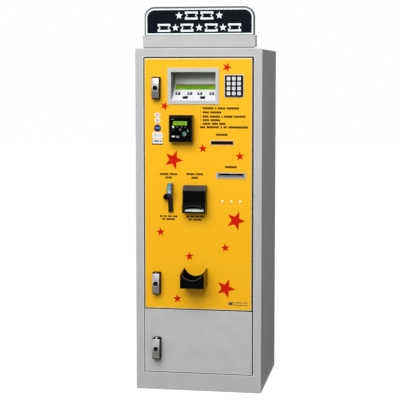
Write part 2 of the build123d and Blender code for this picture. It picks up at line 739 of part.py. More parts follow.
def panel_keys():
    """Place and size of each display key, by name: x, rise on the slope, width and height."""
    soft_x = (-SOFT_KEY_OUTER_X, -SOFT_KEY_INNER_X, SOFT_KEY_INNER_X, SOFT_KEY_OUTER_X)
    keys = {}
    for number, x in enumerate(soft_x, start=1):
        keys[f"soft_key_{number}"] = (x, SOFT_KEY_ROW, SOFT_KEY_WIDTH, SOFT_KEY_HEIGHT)
    for number, x in enumerate((-MENU_KEY_X, MENU_KEY_X), start=1):
        keys[f"menu_key_{number}"] = (x, MENU_KEY_ROW, MENU_KEY_WIDTH, MENU_KEY_HEIGHT)
    return keys


def panel_hole(x, rise, width, height):
    """Hole that passes through the sloped panel round a piece of this size."""
    window = 2 * SLIDE_CLEARANCE
    beyond = PANEL_SHEET
    return on_slope(x, rise, width + window, height + window, -PANEL_SHEET - beyond, beyond)


def display_panel():
    """Sloped panel with the screen's window and a hole for each key."""
    profile = [
        (FACE, DISPLAY_SILL),
        (DISPLAY_BACK, DISPLAY_SILL + DISPLAY_RISE),
        (DISPLAY_BACK, DISPLAY_SILL + DISPLAY_RISE - PANEL_DROP),
        (FACE, DISPLAY_SILL - PANEL_DROP),
    ]
    panel = side_prism(profile, about(DISPLAY_X, 2 * DISPLAY_INNER_X))
    panel -= panel_hole(0, LCD_CENTRE, LCD_WIDTH, LCD_HEIGHT)
    for place in panel_keys().values():
        panel -= panel_hole(*place)
    return panel


def lcd_screen():
    """Screen in the panel's window, with the rim that holds it behind the panel."""
    glass = on_slope(0, LCD_CENTRE, LCD_WIDTH, LCD_HEIGHT, -LCD_DEPTH, -LCD_SINK)
    width = LCD_WIDTH + 2 * LCD_RIM
    height = LCD_HEIGHT + 2 * LCD_RIM
    return glass + on_slope(0, LCD_CENTRE, width, height, -LCD_DEPTH, -PANEL_SHEET)


def panel_key(x, rise, width, height):
    """Key in the sloped panel."""
    return on_slope(x, rise, width, height, -PANEL_SHEET - PANEL_KEY_TAIL, PANEL_KEY_PROUD)


# Keypad


def keypad_keys():
    """Centre of each keypad key, by name."""
    middle_column = (len(KEY_ROWS[0]) - 1) / 2
    middle_row = (len(KEY_ROWS) - 1) / 2
    keys = {}
    for row, labels in enumerate(KEY_ROWS):
        for column, label in enumerate(labels):
            x = KEYPAD_X + (column - middle_column) * KEY_PITCH_X
            keys[f"key_{label}"] = (x, KEYPAD_Z + (middle_row - row) * KEY_PITCH_Z)
    return keys


def key_outline(centre, margin):
    """Front view of a keypad key, grown by a margin."""
    size = KEY_SIZE + 2 * margin
    return rounded(about(centre[0], size), about(centre[1], size), KEY_CORNER_R + margin)


def keypad_plate():
    """Black plate with a pocket for each key, and the neck behind it."""
    front = FACE - KEYPAD_PROUD
    width = about(KEYPAD_X, KEYPAD_WIDTH)
    height = about(KEYPAD_Z, KEYPAD_HEIGHT)
    plate = slab(rounded(width, height, KEYPAD_CORNER_R), (front, FACE))
    neck_depth = (FACE, FACE + KEYPAD_NECK_DEPTH)
    plate += block(grown(width, -KEYPAD_NECK_INSET), neck_depth, grown(height, -KEYPAD_NECK_INSET))
    pocket_depth = (front, front - KEY_PROUD + KEY_LENGTH + KEY_TRAVEL + SEAT_GAP)
    for centre in keypad_keys().values():
        plate -= slab(key_outline(centre, SLIDE_CLEARANCE), pocket_depth)
    return plate


def keypad_key(centre):
    """One keypad key."""
    front = FACE - KEYPAD_PROUD - KEY_PROUD
    return slab(key_outline(centre, 0), (front, front + KEY_LENGTH))


# Card reader


def card_reader():
    """Card reader with a sloped top, cut-back front edges and a swipe slot down its right side."""
    x = about(READER_X, READER_WIDTH)
    bottom, top = about(READER_Z, READER_HEIGHT)
    front = FACE - READER_DEPTH
    profile = [
        (FACE, bottom),
        (front + READER_EDGE, bottom),
        (front, bottom + READER_EDGE),
        (front, top - READER_TOP_BEVEL),
        (front + READER_BEVEL_DEPTH, top),
        (FACE, top),
    ]
    body = side_prism(profile, x)
    for edge, inward in ((x[0], 1), (x[1], -1)):
        corner = Polyline(
            (edge, front), (edge + inward * READER_EDGE, front), (edge, front + READER_EDGE), close=True
        )
        body -= Pos(0, 0, bottom) * extrude(make_face(corner), amount=READER_HEIGHT, dir=(0, 0, 1))
    slot_x = (x[1] - SWIPE_CHEEK - SWIPE_WIDTH, x[1] - SWIPE_CHEEK)
    body -= block(slot_x, (front, front + SWIPE_DEPTH), (bottom, top))
    return body + spindle(READER_X, READER_Z, READER_NECK_R, (FACE, DOOR_INSIDE + READER_NECK_DEPTH))


# Receipt printer


def receipt_printer():
    """Printer behind the door with its paper slot, and the black mouth in front of the door."""
    width = about(RECEIPT_X, RECEIPT_WIDTH)
    height = about(RECEIPT_Z, RECEIPT_HEIGHT)
    slot_x = about(RECEIPT_X, RECEIPT_SLOT_WIDTH)
    slot_z = about(RECEIPT_Z, RECEIPT_SLOT_HEIGHT)
    front = FACE - RECEIPT_PROUD
    mouth = block(width, (front, FACE), height)
    inset = -RECEIPT_NECK_INSET
    mouth += block(grown(width, inset), (FACE, DOOR_INSIDE), grown(height, inset))
    mouth -= block(slot_x, (front, DOOR_INSIDE), slot_z)
    printer = block(
        about(RECEIPT_X, PRINTER_WIDTH),
        (DOOR_INSIDE, DOOR_INSIDE + PRINTER_DEPTH),
        about(RECEIPT_Z - PRINTER_DROP, PRINTER_HEIGHT),
    )
    printer -= block(slot_x, (DOOR_INSIDE, DOOR_INSIDE + PRINTER_SLOT_DEPTH), slot_z)
    return group([mouth, printer])


# Ticket mouth and feeder


def ticket_bezel():
    """Steel border of the ticket mouth with the ramp that the tickets slide down."""
    width = about(TICKET_X, TICKET_WIDTH)
    height = about(TICKET_Z, TICKET_HEIGHT)
    inner_x = about(TICKET_X, 2 * TICKET_INNER_X)
    inner_z = (TICKET_SILL, TICKET_HEAD)
    front = FACE - TICKET_PROUD
    bezel = slab(rounded(width, height, TICKET_CORNER_R), (front, FACE))
    bezel -= block(inner_x, (front, FACE), inner_z)
    ramp = [(front, TICKET_SILL), (DOOR_INSIDE, TICKET_SILL), (DOOR_INSIDE, TICKET_SILL + TICKET_RAMP_RISE)]
    return bezel + side_prism(ramp, grown(inner_x, -TICKET_END_GAP))


def ticket_feeder():
    """Feeder behind the ticket mouth, with the slot that the tickets come through."""
    depth = (DOOR_INSIDE, DOOR_INSIDE + FEEDER_DEPTH)
    body = block(about(TICKET_X, FEEDER_WIDTH), depth, about(TICKET_Z, FEEDER_HEIGHT))
    slot_z = (TICKET_SILL + TICKET_RAMP_RISE, TICKET_HEAD)
    return body - block(about(TICKET_X, FEEDER_SLOT_WIDTH), depth, slot_z)


def dome_bolts():
    """Three dome-headed bolts that hold the feeder's bracket."""
    ball_r = (DOME_R**2 + DOME_HEIGHT**2) / (2 * DOME_HEIGHT)
    bolts = []
    door_face = Plane(origin=(0, FACE, 0), x_dir=(1, 0, 0), z_dir=(0, -1, 0))
    for x in DOME_X:
        ball = Pos(x, FACE - DOME_HEIGHT + ball_r, DOME_Z) * Sphere(ball_r)
        head = split(ball, bisect_by=door_face, keep=Keep.TOP)
        bolts.append(head + spindle(x, DOME_Z, DOME_SHANK_R, (FACE, FACE + DOME_SHANK_LENGTH)))
    return group(bolts)


# Coin inlet, return button and validator


def coin_inlet():
    """Slim coin inlet with a nose at the top, its coin slot, and the round boss of the return button."""
    profile = [
        (FACE, COIN_BOTTOM),
        (FACE - COIN_TOE, COIN_BOTTOM),
        (FACE - COIN_SHIN, COIN_SHIN_Z),
        (FACE - COIN_CHIN, COIN_CHIN_Z),
        (FACE - COIN_BROW, COIN_BROW_Z),
        (FACE - COIN_CREST, COIN_TOP),
        (FACE, COIN_TOP),
    ]
    body = side_prism(profile, about(COIN_X, COIN_WIDTH))
    boss_depth = (FACE - RETURN_BOSS_DEPTH, FACE)
    boss = spindle(RETURN_X, RETURN_Z, RETURN_BOSS_R, boss_depth)
    body += boss - block((COIN_X, COIN_X + COIN_WIDTH), boss_depth, (COIN_BOTTOM, COIN_TOP))
    neck_z = about((COIN_BOTTOM + COIN_TOP) / 2, COIN_NECK_HEIGHT)
    body += block(about(COIN_X, COIN_NECK_WIDTH), (FACE, DOOR_INSIDE), neck_z)
    slot_x = about(COIN_X, COIN_SLOT_WIDTH)
    body -= block(slot_x, (FACE - COIN_BROW, FACE - COIN_TOE), (COIN_SLOT_BOTTOM, COIN_SLOT_TOP))
    bore_end = FACE - RETURN_BOSS_DEPTH - RETURN_PROUD + RETURN_LENGTH + RETURN_TRAVEL + SEAT_GAP
    bore = (FACE - RETURN_BOSS_DEPTH, bore_end)
    return body - spindle(RETURN_X, RETURN_Z, RETURN_R + SLIDE_CLEARANCE, bore)


def coin_return_button():
    """Push button in the boss beside the coin inlet."""
    front = FACE - RETURN_BOSS_DEPTH - RETURN_PROUD
    return spindle(RETURN_X, RETURN_Z, RETURN_R, (front, front + RETURN_LENGTH))


def coin_validator():
    """Coin validator behind the inlet and the square chute that leads down to the shelf's hole."""
    depth = (DOOR_INSIDE, DOOR_INSIDE + VALIDATOR_DEPTH)
    body = block(about(COIN_X, VALIDATOR_WIDTH), depth, (VALIDATOR_BOTTOM, VALIDATOR_TOP))
    x = about(COIN_X, CHUTE_SIZE)
    y = about(CHUTE_Y, CHUTE_SIZE)
    z = (SHELF_TOP + CHUTE_END_GAP, VALIDATOR_BOTTOM)
    chute = block(x, y, z) - block(grown(x, -CHUTE_WALL), grown(y, -CHUTE_WALL), z)
    return group([body, chute])


# Banknote acceptor


def note_bezel():
    """Bezel with a bevelled top, a lip that stands further out, and the arched pocket of the note slot."""
    profile = [
        (FACE, NOTE_BOTTOM),
        (FACE - NOTE_LIP_REACH + NOTE_CHIN, NOTE_BOTTOM),
        (FACE - NOTE_LIP_REACH, NOTE_BOTTOM + NOTE_CHIN),
        (FACE - NOTE_LIP_REACH, NOTE_LIP_TOP - NOTE_LIP_SLOPE),
        (FACE - NOTE_REACH, NOTE_LIP_TOP),
        (FACE - NOTE_REACH, NOTE_TOP - NOTE_BEVEL),
        (FACE - NOTE_CREST, NOTE_TOP),
        (FACE, NOTE_TOP),
    ]
    width = about(NOTE_X, NOTE_WIDTH)
    body = side_prism(profile, width)
    neck_z = grown((NOTE_BOTTOM, NOTE_TOP), -NOTE_NECK_INSET)
    body += block(grown(width, -NOTE_NECK_INSET), (FACE, DOOR_INSIDE), neck_z)
    left, right = about(NOTE_X, NOTE_POCKET_WIDTH)
    pocket = make_face(
        Polyline((left, NOTE_POCKET_SIDE), (left, NOTE_POCKET_BOTTOM), (right, NOTE_POCKET_BOTTOM),
                 (right, NOTE_POCKET_SIDE))
        + ThreePointArc((right, NOTE_POCKET_SIDE), (NOTE_X, NOTE_POCKET_TOP), (left, NOTE_POCKET_SIDE))
    )
    front = FACE - NOTE_LIP_REACH
    body -= slab(pocket, (front, front + NOTE_POCKET_DEPTH))
    slot_z = (NOTE_SLOT_BOTTOM, NOTE_SLOT_BOTTOM + NOTE_SLOT_HEIGHT)
    return body - block(about(NOTE_X, NOTE_SLOT_WIDTH), (front, DOOR_INSIDE), slot_z)


def note_acceptor():
    """Note acceptor behind the door, and the stacker box under it."""
    depth = (DOOR_INSIDE, DOOR_INSIDE + ACCEPTOR_DEPTH)
    body = block(about(NOTE_X, ACCEPTOR_WIDTH), depth, (ACCEPTOR_BOTTOM, ACCEPTOR_TOP))
    slot_z = (NOTE_SLOT_BOTTOM, NOTE_SLOT_BOTTOM + NOTE_SLOT_HEIGHT)
    body -= block(about(NOTE_X, NOTE_SLOT_WIDTH), (DOOR_INSIDE, DOOR_INSIDE + ACCEPTOR_SLOT_DEPTH), slot_z)
    stacker_y = (DOOR_INSIDE + STACKER_SETBACK, DOOR_INSIDE + STACKER_SETBACK + STACKER_DEPTH)
    stacker = block(about(NOTE_X, STACKER_WIDTH), stacker_y, (STACKER_BOTTOM, ACCEPTOR_BOTTOM))
    return group([body, stacker])


# Coin cup


def coin_cup():
    """Cup with a scooped rim, high horns at its sides, and the spout that feeds it through the door."""
    x = about(CUP_X, CUP_WIDTH)
    front = FACE - CUP_REACH
    profile = [(FACE, CUP_BOTTOM), (front, CUP_BOTTOM), (front, CUP_FRONT_TOP), (FACE, CUP_BACK_TOP)]
    cup = side_prism(profile, x)
    half = CUP_WIDTH / 2 - CUP_TIP
    sag = CUP_BACK_TOP - CUP_BACK_SCOOP
    scoop_r = (half**2 + sag**2) / (2 * sag)
    fall = atan2(CUP_BACK_SCOOP - CUP_FRONT_SCOOP, CUP_REACH)
    scoop_plane = Plane(
        origin=(CUP_X, FACE, CUP_BACK_SCOOP + scoop_r / cos(fall)),
        x_dir=(1, 0, 0),
        z_dir=(0, -cos(fall), -sin(fall)),
    )
    past_both_ends = 2 * CUP_REACH
    cup -= extrude(scoop_plane * Circle(scoop_r), amount=past_both_ends, both=True)
    hollow_z = (CUP_BOTTOM + CUP_WALL, CUP_BACK_TOP)
    cup -= block(grown(x, -CUP_WALL), (front + CUP_WALL, FACE - CUP_WALL), hollow_z)
    spout_x = about(CUP_X, SPOUT_WIDTH)
    spout_z = (SPOUT_BOTTOM, SPOUT_BOTTOM + SPOUT_HEIGHT)
    spout_end = FACE + SPOUT_REACH
    cup += block(grown(spout_x, SPOUT_WALL), (FACE, spout_end), grown(spout_z, SPOUT_WALL))
    return cup - block(spout_x, (FACE - CUP_WALL, spout_end), spout_z)


# Every node, by name


def all_nodes():
    """Every named piece of the dispenser."""
    nodes = {
        "cabinet_wrap": cabinet_wrap(),
        "back_panel": back_panel(),
        "floor_panel": floor_panel(),
        "front_frame": front_frame(),
        "divider_shelf": divider_shelf(),
        "hinge_pivots": hinge_pivots(),
        "sign_base": sign_base(),
        "sign_case": sign_case(),
        "sign_face": sign_face(),
        "ticket_bin": ticket_bin(),
        "ticket_pack": ticket_pack(),
        "electronics_tray": electronics_tray(),
        "cash_box": cash_box(),
        "upper_door": upper_door(),
        "yellow_overlay": yellow_overlay(),
        "upper_lock_housings": group(lock_housing(z, FACE) for z in UPPER_LOCK_Z),
        "display_bezel": display_bezel(),
        "display_panel": display_panel(),
        "lcd_screen": lcd_screen(),
        "keypad_plate": keypad_plate(),
        "card_reader": card_reader(),
        "receipt_printer": receipt_printer(),
        "ticket_bezel": ticket_bezel(),
        "ticket_feeder": ticket_feeder(),
        "dome_bolts": dome_bolts(),
        "coin_inlet": coin_inlet(),
        "coin_validator": coin_validator(),
        "coin_return_button": coin_return_button(),
        "note_bezel": note_bezel(),
        "note_acceptor": note_acceptor(),
        "coin_cup": coin_cup(),
        "lower_door": lower_door(),
        "lower_lock_housing": lock_housing(LOWER_LOCK_Z, FRONT),
    }
    locks = {
        "top": (UPPER_LOCK_Z[0], FACE),
        "middle": (UPPER_LOCK_Z[1], FACE),
        "lower": (LOWER_LOCK_Z, FRONT),
    }
    for name, (z, seat) in locks.items():
        nodes[f"{name}_lock_bolt"] = lock_bolt(z, seat)
        nodes[f"{name}_lock_handle"] = lock_handle(z, seat)
        nodes[f"{name}_lock_plug"] = lock_plug(z, seat)
    for name, place in panel_keys().items():
        nodes[name] = panel_key(*place)
    for name, centre in keypad_keys().items():
        nodes[name] = keypad_key(centre)
    return nodes


os.makedirs("parts", exist_ok=True)
for node_name, shape in all_nodes().items():
    export_step(shape, f"parts/{node_name}.step")
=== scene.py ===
"""Looks of the ticket dispenser: materials, prints, screens, small trim, floor, lamps and camera.

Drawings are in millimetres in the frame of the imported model: X to the right as seen from the front, Y into
the cabinet and Z up. The helpers turn them into metres. Lamps, cards and camera are placed in metres.
"""

import json
from math import asin, cos, degrees, pi, radians, sin

import bmesh
import bpy
from mathutils import Matrix, Vector


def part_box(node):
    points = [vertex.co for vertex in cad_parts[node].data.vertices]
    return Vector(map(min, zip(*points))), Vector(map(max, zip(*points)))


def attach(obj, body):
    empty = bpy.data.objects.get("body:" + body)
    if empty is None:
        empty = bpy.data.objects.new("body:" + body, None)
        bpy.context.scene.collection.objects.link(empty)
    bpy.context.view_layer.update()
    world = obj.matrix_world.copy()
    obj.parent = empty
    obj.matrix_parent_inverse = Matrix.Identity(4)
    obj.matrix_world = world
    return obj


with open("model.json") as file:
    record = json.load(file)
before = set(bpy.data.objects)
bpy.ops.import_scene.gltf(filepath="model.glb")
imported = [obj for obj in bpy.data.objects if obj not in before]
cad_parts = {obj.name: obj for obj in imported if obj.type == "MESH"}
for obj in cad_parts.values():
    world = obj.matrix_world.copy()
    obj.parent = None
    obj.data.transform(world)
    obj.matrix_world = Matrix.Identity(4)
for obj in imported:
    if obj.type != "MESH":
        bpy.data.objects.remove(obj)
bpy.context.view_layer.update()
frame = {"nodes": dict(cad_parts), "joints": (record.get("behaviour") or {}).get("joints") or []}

MM = 0.001

# Thickness of prints and trim
INK = 0.12
STICKER = 0.2
TRIM = 1.2
THIN = 0.3
LAYER = 0.05  # one print over another

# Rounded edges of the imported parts: widths, and how they are cut
FINE_EDGE = 0.3
EDGE = 0.5
SHEET_EDGE = 0.8
BODY_EDGE = 1.2
MOULDED_EDGE = 1.8
EDGE_SEGMENTS = 2
SHARP_CORNER = 35.0  # turn of the surface from which a corner is rounded, in degrees
WELD_REACH = 0.01


def limits(node):
    """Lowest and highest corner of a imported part, in millimetres."""
    low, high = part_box(node)
    return low / MM, high / MM


def middle(node):
    """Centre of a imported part's box, in millimetres."""
    low, high = limits(node)
    return (low + high) / 2


# Faces that carry prints and trim
OVERLAY_Y = limits("yellow_overlay")[0].y
DOOR_Y = limits("lower_door")[0].y
SIGN_Y = limits("sign_face")[0].y


# Meshes


def finished(shape, name):
    """Mesh in metres of a shape that is drawn in millimetres."""
    bmesh.ops.recalc_face_normals(shape, faces=shape.faces)
    mesh = bpy.data.meshes.new(name)
    shape.to_mesh(mesh)
    shape.free()
    mesh.transform(Matrix.Scale(MM, 4))
    return mesh


def link(name, mesh, material, body):
    """New piece of the object that moves with a body."""
    piece = bpy.data.objects.new(name, mesh)
    bpy.context.scene.collection.objects.link(piece)
    mesh.materials.append(material)
    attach(piece, body)
    return piece


def round_edges(piece, width):
    """Rounded edges on sharp corners only."""
    weld = piece.modifiers.new("Weld", "WELD")
    weld.merge_threshold = WELD_REACH * MM
    bevel = piece.modifiers.new("Bevel", "BEVEL")
    bevel.width = width * MM
    bevel.segments = EDGE_SEGMENTS
    bevel.limit_method = "ANGLE"
    bevel.angle_limit = radians(SHARP_CORNER)
    bevel.use_clamp_overlap = True
    bevel.harden_normals = True


def front_view(x, z, y):
    """Point of a front-view drawing at a depth."""
    return Vector((x, y, z))


def top_view(x, y, z):
    """Point of a top-view drawing at a height."""
    return Vector((x, y, z))


def walls(shape, first, second):
    """Faces between two closed loops with the same number of corners."""
    for near in range(len(first)):
        far = (near + 1) % len(first)
        shape.faces.new((first[near], first[far], second[far], second[near]))


def prisms(name, outlines, near, far, material, body="upper_door", view=front_view):
    """Flat plates from outlines, between two depths of a view."""
    shape = bmesh.new()
    for outline in outlines:
        lid = [shape.verts.new(view(*point, near)) for point in outline]
        base = [shape.verts.new(view(*point, far)) for point in outline]
        shape.faces.new(lid)
        shape.faces.new(base[::-1])
        walls(shape, lid, base)
    return link(name, finished(shape, name), material, body)


def plate(name, outlines, y_back, thickness, material, body="upper_door"):
    """Printed or pressed plates that lie on a face."""
    return prisms(name, outlines, y_back - thickness, y_back, material, body)


def ring(name, outer, inner, y_back, thickness, material, body="upper_door"):
    """Flat frame between two outlines with the same number of points."""
    y_front = y_back - thickness
    shape = bmesh.new()
    loops = []
    for outline, y in ((outer, y_front), (inner, y_front), (inner, y_back), (outer, y_back)):
        loops.append([shape.verts.new(front_view(*point, y)) for point in outline])
    for a, b in zip(loops, loops[1:] + loops[:1]):
        walls(shape, a, b)
    return link(name, finished(shape, name), material, body)


def domes(name, places, radius, y_back, height, material, body="upper_door", steps=20, rings=5):
    """Low domes that stand on a face and bulge to the front, or to the back with a negative height."""
    turns = [2 * pi * step / steps for step in range(steps)]
    shape = bmesh.new()
    for x, z in places:
        loops = []
        for level in range(rings):
            angle = pi / 2 * level / rings
            reach, y = radius * cos(angle), y_back - height * sin(angle)
            points = [front_view(x + reach * cos(turn), z + reach * sin(turn), y) for turn in turns]
            loops.append([shape.verts.new(point) for point in points])
        tip = shape.verts.new(front_view(x, z, y_back - height))
        for a, b in zip(loops, loops[1:]):
            walls(shape, a, b)
        for near in range(steps):
            shape.faces.new((loops[-1][near], loops[-1][(near + 1) % steps], tip))
        shape.faces.new(loops[0])
    for face in shape.faces:
        face.smooth = len(face.verts) < steps
    return link(name, finished(shape, name), material, body)


# Outlines


def steps_between(start, end, count):
    """Evenly spaced values from a start to an end."""
    return [start + (end - start) * step / (count - 1) for step in range(count)]


def rectangle(x, z, width, height):
    """Outline of a rectangle about a centre."""
    left, right = x - width / 2, x + width / 2
    low, high = z - height / 2, z + height / 2
    return [(left, low), (right, low), (right, high), (left, high)]


def between(x, z, margin=0):
    """Outline of a rectangle between two pairs of limits, grown by a margin."""
    width, height = x[1] - x[0] + 2 * margin, z[1] - z[0] + 2 * margin
    return rectangle((x[0] + x[1]) / 2, (z[0] + z[1]) / 2, width, height)


def front_outline(node, margin=0):
    """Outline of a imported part's box from the front, grown by a margin."""
    low, high = limits(node)
    return between((low.x, high.x), (low.z, high.z), margin)


def arc(x, z, radius, start, end, steps):
    """Points of an arc between two angles in degrees."""
    angles = [radians(angle) for angle in steps_between(start, end, steps + 1)]
    return [(x + radius * cos(angle), z + radius * sin(angle)) for angle in angles]


def band(x, z, radius, width, start, end, steps):
    """Outline of a curved line that lies outside a radius."""
    inner = arc(x, z, radius, start, end, steps)
    return arc(x, z, radius + width, start, end, steps) + inner[::-1]


def rounded_rectangle(x, z, width, height, radius, steps=6):
    """Outline of a rectangle with round corners about a centre."""
    reach_x, reach_z = width / 2 - radius, height / 2 - radius
    outline = []
    for start, side_x, side_z in ((0, 1, 1), (90, -1, 1), (180, -1, -1), (270, 1, -1)):
        outline += arc(x + side_x * reach_x, z + side_z * reach_z, radius, start, start + 90, steps)
    return outline


def ellipse(x, z, width, height, steps=40):
    """Outline of an ellipse about a centre."""
    turns = [2 * pi * step / steps for step in range(steps)]
    return [(x + width / 2 * cos(turn), z + height / 2 * sin(turn)) for turn in turns]


def circle(x, z, radius):
    """Outline of a circle about a centre."""
    return ellipse(x, z, 2 * radius, 2 * radius)


def star(x, z, radius, turn):
    """Outline of a plain five-pointed star with one point at an angle in degrees."""
    outline = []
    for corner in range(2 * STAR_POINTS):
        angle = radians(turn + 180 / STAR_POINTS * corner)
        reach = radius * (STAR_WAIST if corner % 2 else 1)
        outline.append((x + reach * cos(angle), z + reach * sin(angle)))
    return outline


def ticket(x, z, width, height):
    """Outline of a plain ticket: a rectangle with a round notch at each end."""
    notch = height * TICKET_NOTCH
    left, right = x - width / 2, x + width / 2
    low, high = z - height / 2, z + height / 2
    return (
        [(left, low), (right, low)]
        + arc(right, z, notch, 270, 90, steps=8)
        + [(right, high), (left, high)]
        + arc(left, z, notch, 90, -90, steps=8)
    )


def words(left, z, length, height, counts):
    """Outlines of small blocks that stand for the letters of a line: so many in each word."""
    pitch = length / (sum(counts) + WORD_GAP * (len(counts) - 1) - (1 - LETTER_WIDTH))
    width = pitch * LETTER_WIDTH
    outlines = []
    x = left + width / 2
    for count in counts:
        for _ in range(count):
            outlines.append(rectangle(x, z, width, height))
            x += pitch
        x += pitch * WORD_GAP
    return outlines


def centred_lines(lines):
    """The same for several lines, each given by its centre, length, height and word lengths."""
    outlines = []
    for x, z, length, height, counts in lines:
        outlines += words(x - length / 2, z, length, height, counts)
    return outlines


def numeral(name, text, x, z, height, y_face, material, body="upper_door"):
    """Printed digit or sign, centred, on a face."""
    curve = bpy.data.curves.new(name, "FONT")
    curve.body = text
    curve.align_x = "CENTER"
    curve.align_y = "CENTER"
    curve.size = height / CAP_SHARE
    curve.extrude = INK / 2
    source = bpy.data.objects.new(name, curve)
    bpy.context.scene.collection.objects.link(source)
    bpy.context.view_layer.update()
    mesh = bpy.data.meshes.new_from_object(source.evaluated_get(bpy.context.evaluated_depsgraph_get()))
    bpy.data.objects.remove(source)
    stand = Matrix.Rotation(pi / 2, 4, "X")
    mesh.transform(Matrix.Scale(MM, 4) @ Matrix.Translation((x, y_face - INK / 2, z)) @ stand)
    mesh.materials.clear()
    return link(name, mesh, material, body)


# Materials, with the effect of their fine noise
FINE_DETAIL = 2.0
ROUGHNESS_SPREAD = 0.15
GRAIN_DEPTH = 0.05


def new_material(name, slot=None):
    """Empty material: its surface shader and the object coordinates."""
    material = bpy.data.materials.new(name)
    material.use_nodes = True
    if slot:
        material["slot"] = slot
    nodes = material.node_tree.nodes
    coordinates = nodes.new("ShaderNodeTexCoord")
    return material, nodes["Principled BSDF"], coordinates.outputs["Object"]


def feed(node, inputs):
    """Inputs of a node, by name or number: another node's output is linked, and a value is set."""
    for socket, source in inputs.items():
        if isinstance(source, bpy.types.NodeSocket):
            node.id_data.links.new(source, node.inputs[socket])
        else:
            node.inputs[socket].default_value = source
    return node


def follow(kind, inputs):
    """New node in the tree of its first input, which is an output of another node."""
    first = next(iter(inputs.values()))
    return feed(first.id_data.nodes.new(kind), inputs)


def noise(place, size, detail=3.0, stretch=None):
    """Noise with features of a size, stretched along an axis if asked."""
    if stretch:
        place = follow("ShaderNodeMapping", {"Vector": place, "Scale": stretch}).outputs["Vector"]
    inputs = {"Vector": place, "Scale": 1 / (size * MM), "Detail": detail}
    return follow("ShaderNodeTexNoise", inputs).outputs["Fac"]


def spread(factor, low, high, start=0.3, end=0.7):
    """A factor stretched to a range of values."""
    inputs = {"Value": factor, "From Min": start, "From Max": end, "To Min": low, "To Max": high}
    return follow("ShaderNodeMapRange", inputs).outputs["Result"]


def along(vector, axis):
    """One coordinate of a vector."""
    return follow("ShaderNodeSeparateXYZ", {"Vector": vector}).outputs[axis]


def ramp(place, axis, start, end):
    """Factor that rises from 0 to 1 between two values of an object coordinate, in millimetres."""
    return spread(along(place, axis), 0, 1, start * MM, end * MM)


def facing(place, axis, start, end):
    """Factor that goes from 0 to 1 between two values of the surface's normal along an axis."""
    return spread(along(place.node.outputs["Normal"], axis), 0, 1, start, end)


def blend(factor, first, second):
    """Colour between two colours, or between two colour outputs."""
    node = follow("ShaderNodeMix", {"Factor": factor})
    node.data_type = "RGBA"
    for socket, colour in (("A", first), ("B", second)):
        target = next(s for s in node.inputs if s.name == socket and s.type == "RGBA")
        if isinstance(colour, bpy.types.NodeSocket):
            node.id_data.links.new(colour, target)
        else:
            target.default_value = (*colour, 1)
    return next(s for s in node.outputs if s.type == "RGBA")


def shade(colour, share):
    """A colour made lighter or darker by a share."""
    return tuple(min(1.0, channel * share) for channel in colour)


def surface(name, slot, colour, roughness, metallic=0.0, vary=0.04, patch=60.0, grain=0.0,
            grain_size=0.6, stretch=None, specular=0.5, emission=0.0):
    """Material whose colour and roughness vary a little over the surface, with a fine grain."""
    material, shader, place = new_material(name, slot)
    cloud = spread(noise(place, patch), 0, 1)
    fine = noise(place, grain_size, FINE_DETAIL, stretch)
    feed(shader, {
        "Base Color": blend(cloud, shade(colour, 1 - vary), shade(colour, 1 + vary)),
        "Roughness": spread(fine, roughness * (1 - ROUGHNESS_SPREAD), roughness * (1 + ROUGHNESS_SPREAD)),
        "Metallic": metallic,
        "Specular IOR Level": specular,
    })
    if grain:
        bump = follow("ShaderNodeBump", {"Height": fine, "Strength": grain, "Distance": GRAIN_DEPTH * MM})
        feed(shader, {"Normal": bump.outputs["Normal"]})
    if emission:
        feed(shader, {"Emission Color": (*colour, 1), "Emission Strength": emission})
    return material


def ink(name, colour, roughness=0.5, **looks):
    """Colour of the yellow overlay, or of a print or an edge on it."""
    return surface(name, "yellow_print", colour, roughness, **looks)


def mark(name, colour, **looks):
    """Small mark on a glossy black part."""
    return surface(name, "black_gloss", colour, 0.4, **looks)


# Colours, in linear light
GREY = (0.52, 0.52, 0.52)
DOOR_GREY = (0.535, 0.54, 0.54)
YELLOW = (1.0, 0.50, 0.004)
RED = (0.66, 0.012, 0.003)
BLACK = (0.002, 0.002, 0.002)
INK_BLACK = (0.006, 0.005, 0.003)
WHITE = (0.80, 0.80, 0.82)
LAVENDER = (0.55, 0.55, 0.56)
SIGN_NAVY = (0.0050, 0.0085, 0.0125)
SIGN_GREY = (0.13, 0.15, 0.16)
GREEN = (0.17, 0.36, 0.010)

# Painted metal
POWDER_COAT = surface(
    "powder_coat", "cabinet_paint", GREY, 0.6, vary=0.025, grain=0.25, grain_size=1.2, specular=0.2,
)
DOOR_COAT = surface("door_coat", "door_paint", DOOR_GREY, 0.6, grain=0.25, grain_size=1.2, specular=0.2)
# Painted highlights of folded edges, on the cabinet, the lower door and the overlay
PAINTED_BEND_HIGHLIGHT = surface("painted_bend_highlight", "cabinet_paint", (0.70, 0.70, 0.71), 0.5, vary=0.03, specular=0.3)
PAINTED_DOOR_BEND_HIGHLIGHT = surface("painted_door_bend_highlight", "door_paint", (0.78, 0.78, 0.79), 0.5, vary=0.03, specular=0.3)
PAINTED_CREAM_TOP_HIGHLIGHT = ink("painted_cream_top_highlight", (0.92, 0.88, 0.62), vary=0.03, specular=0.3)
PAINTED_CREAM_EDGE_HIGHLIGHT = ink("painted_cream_edge_highlight", (0.82, 0.68, 0.34), vary=0.05, specular=0.3)
SIGN_CASE = surface("sign_case_coat", "sign_case_paint", (0.075, 0.09, 0.10), 0.5, grain=0.2, specular=0.3)
LOCK_BLACK = surface(
    "lock_casting", "lock_black", BLACK, 0.5, vary=0.2, patch=8.0, grain=0.3, specular=0.15,
)

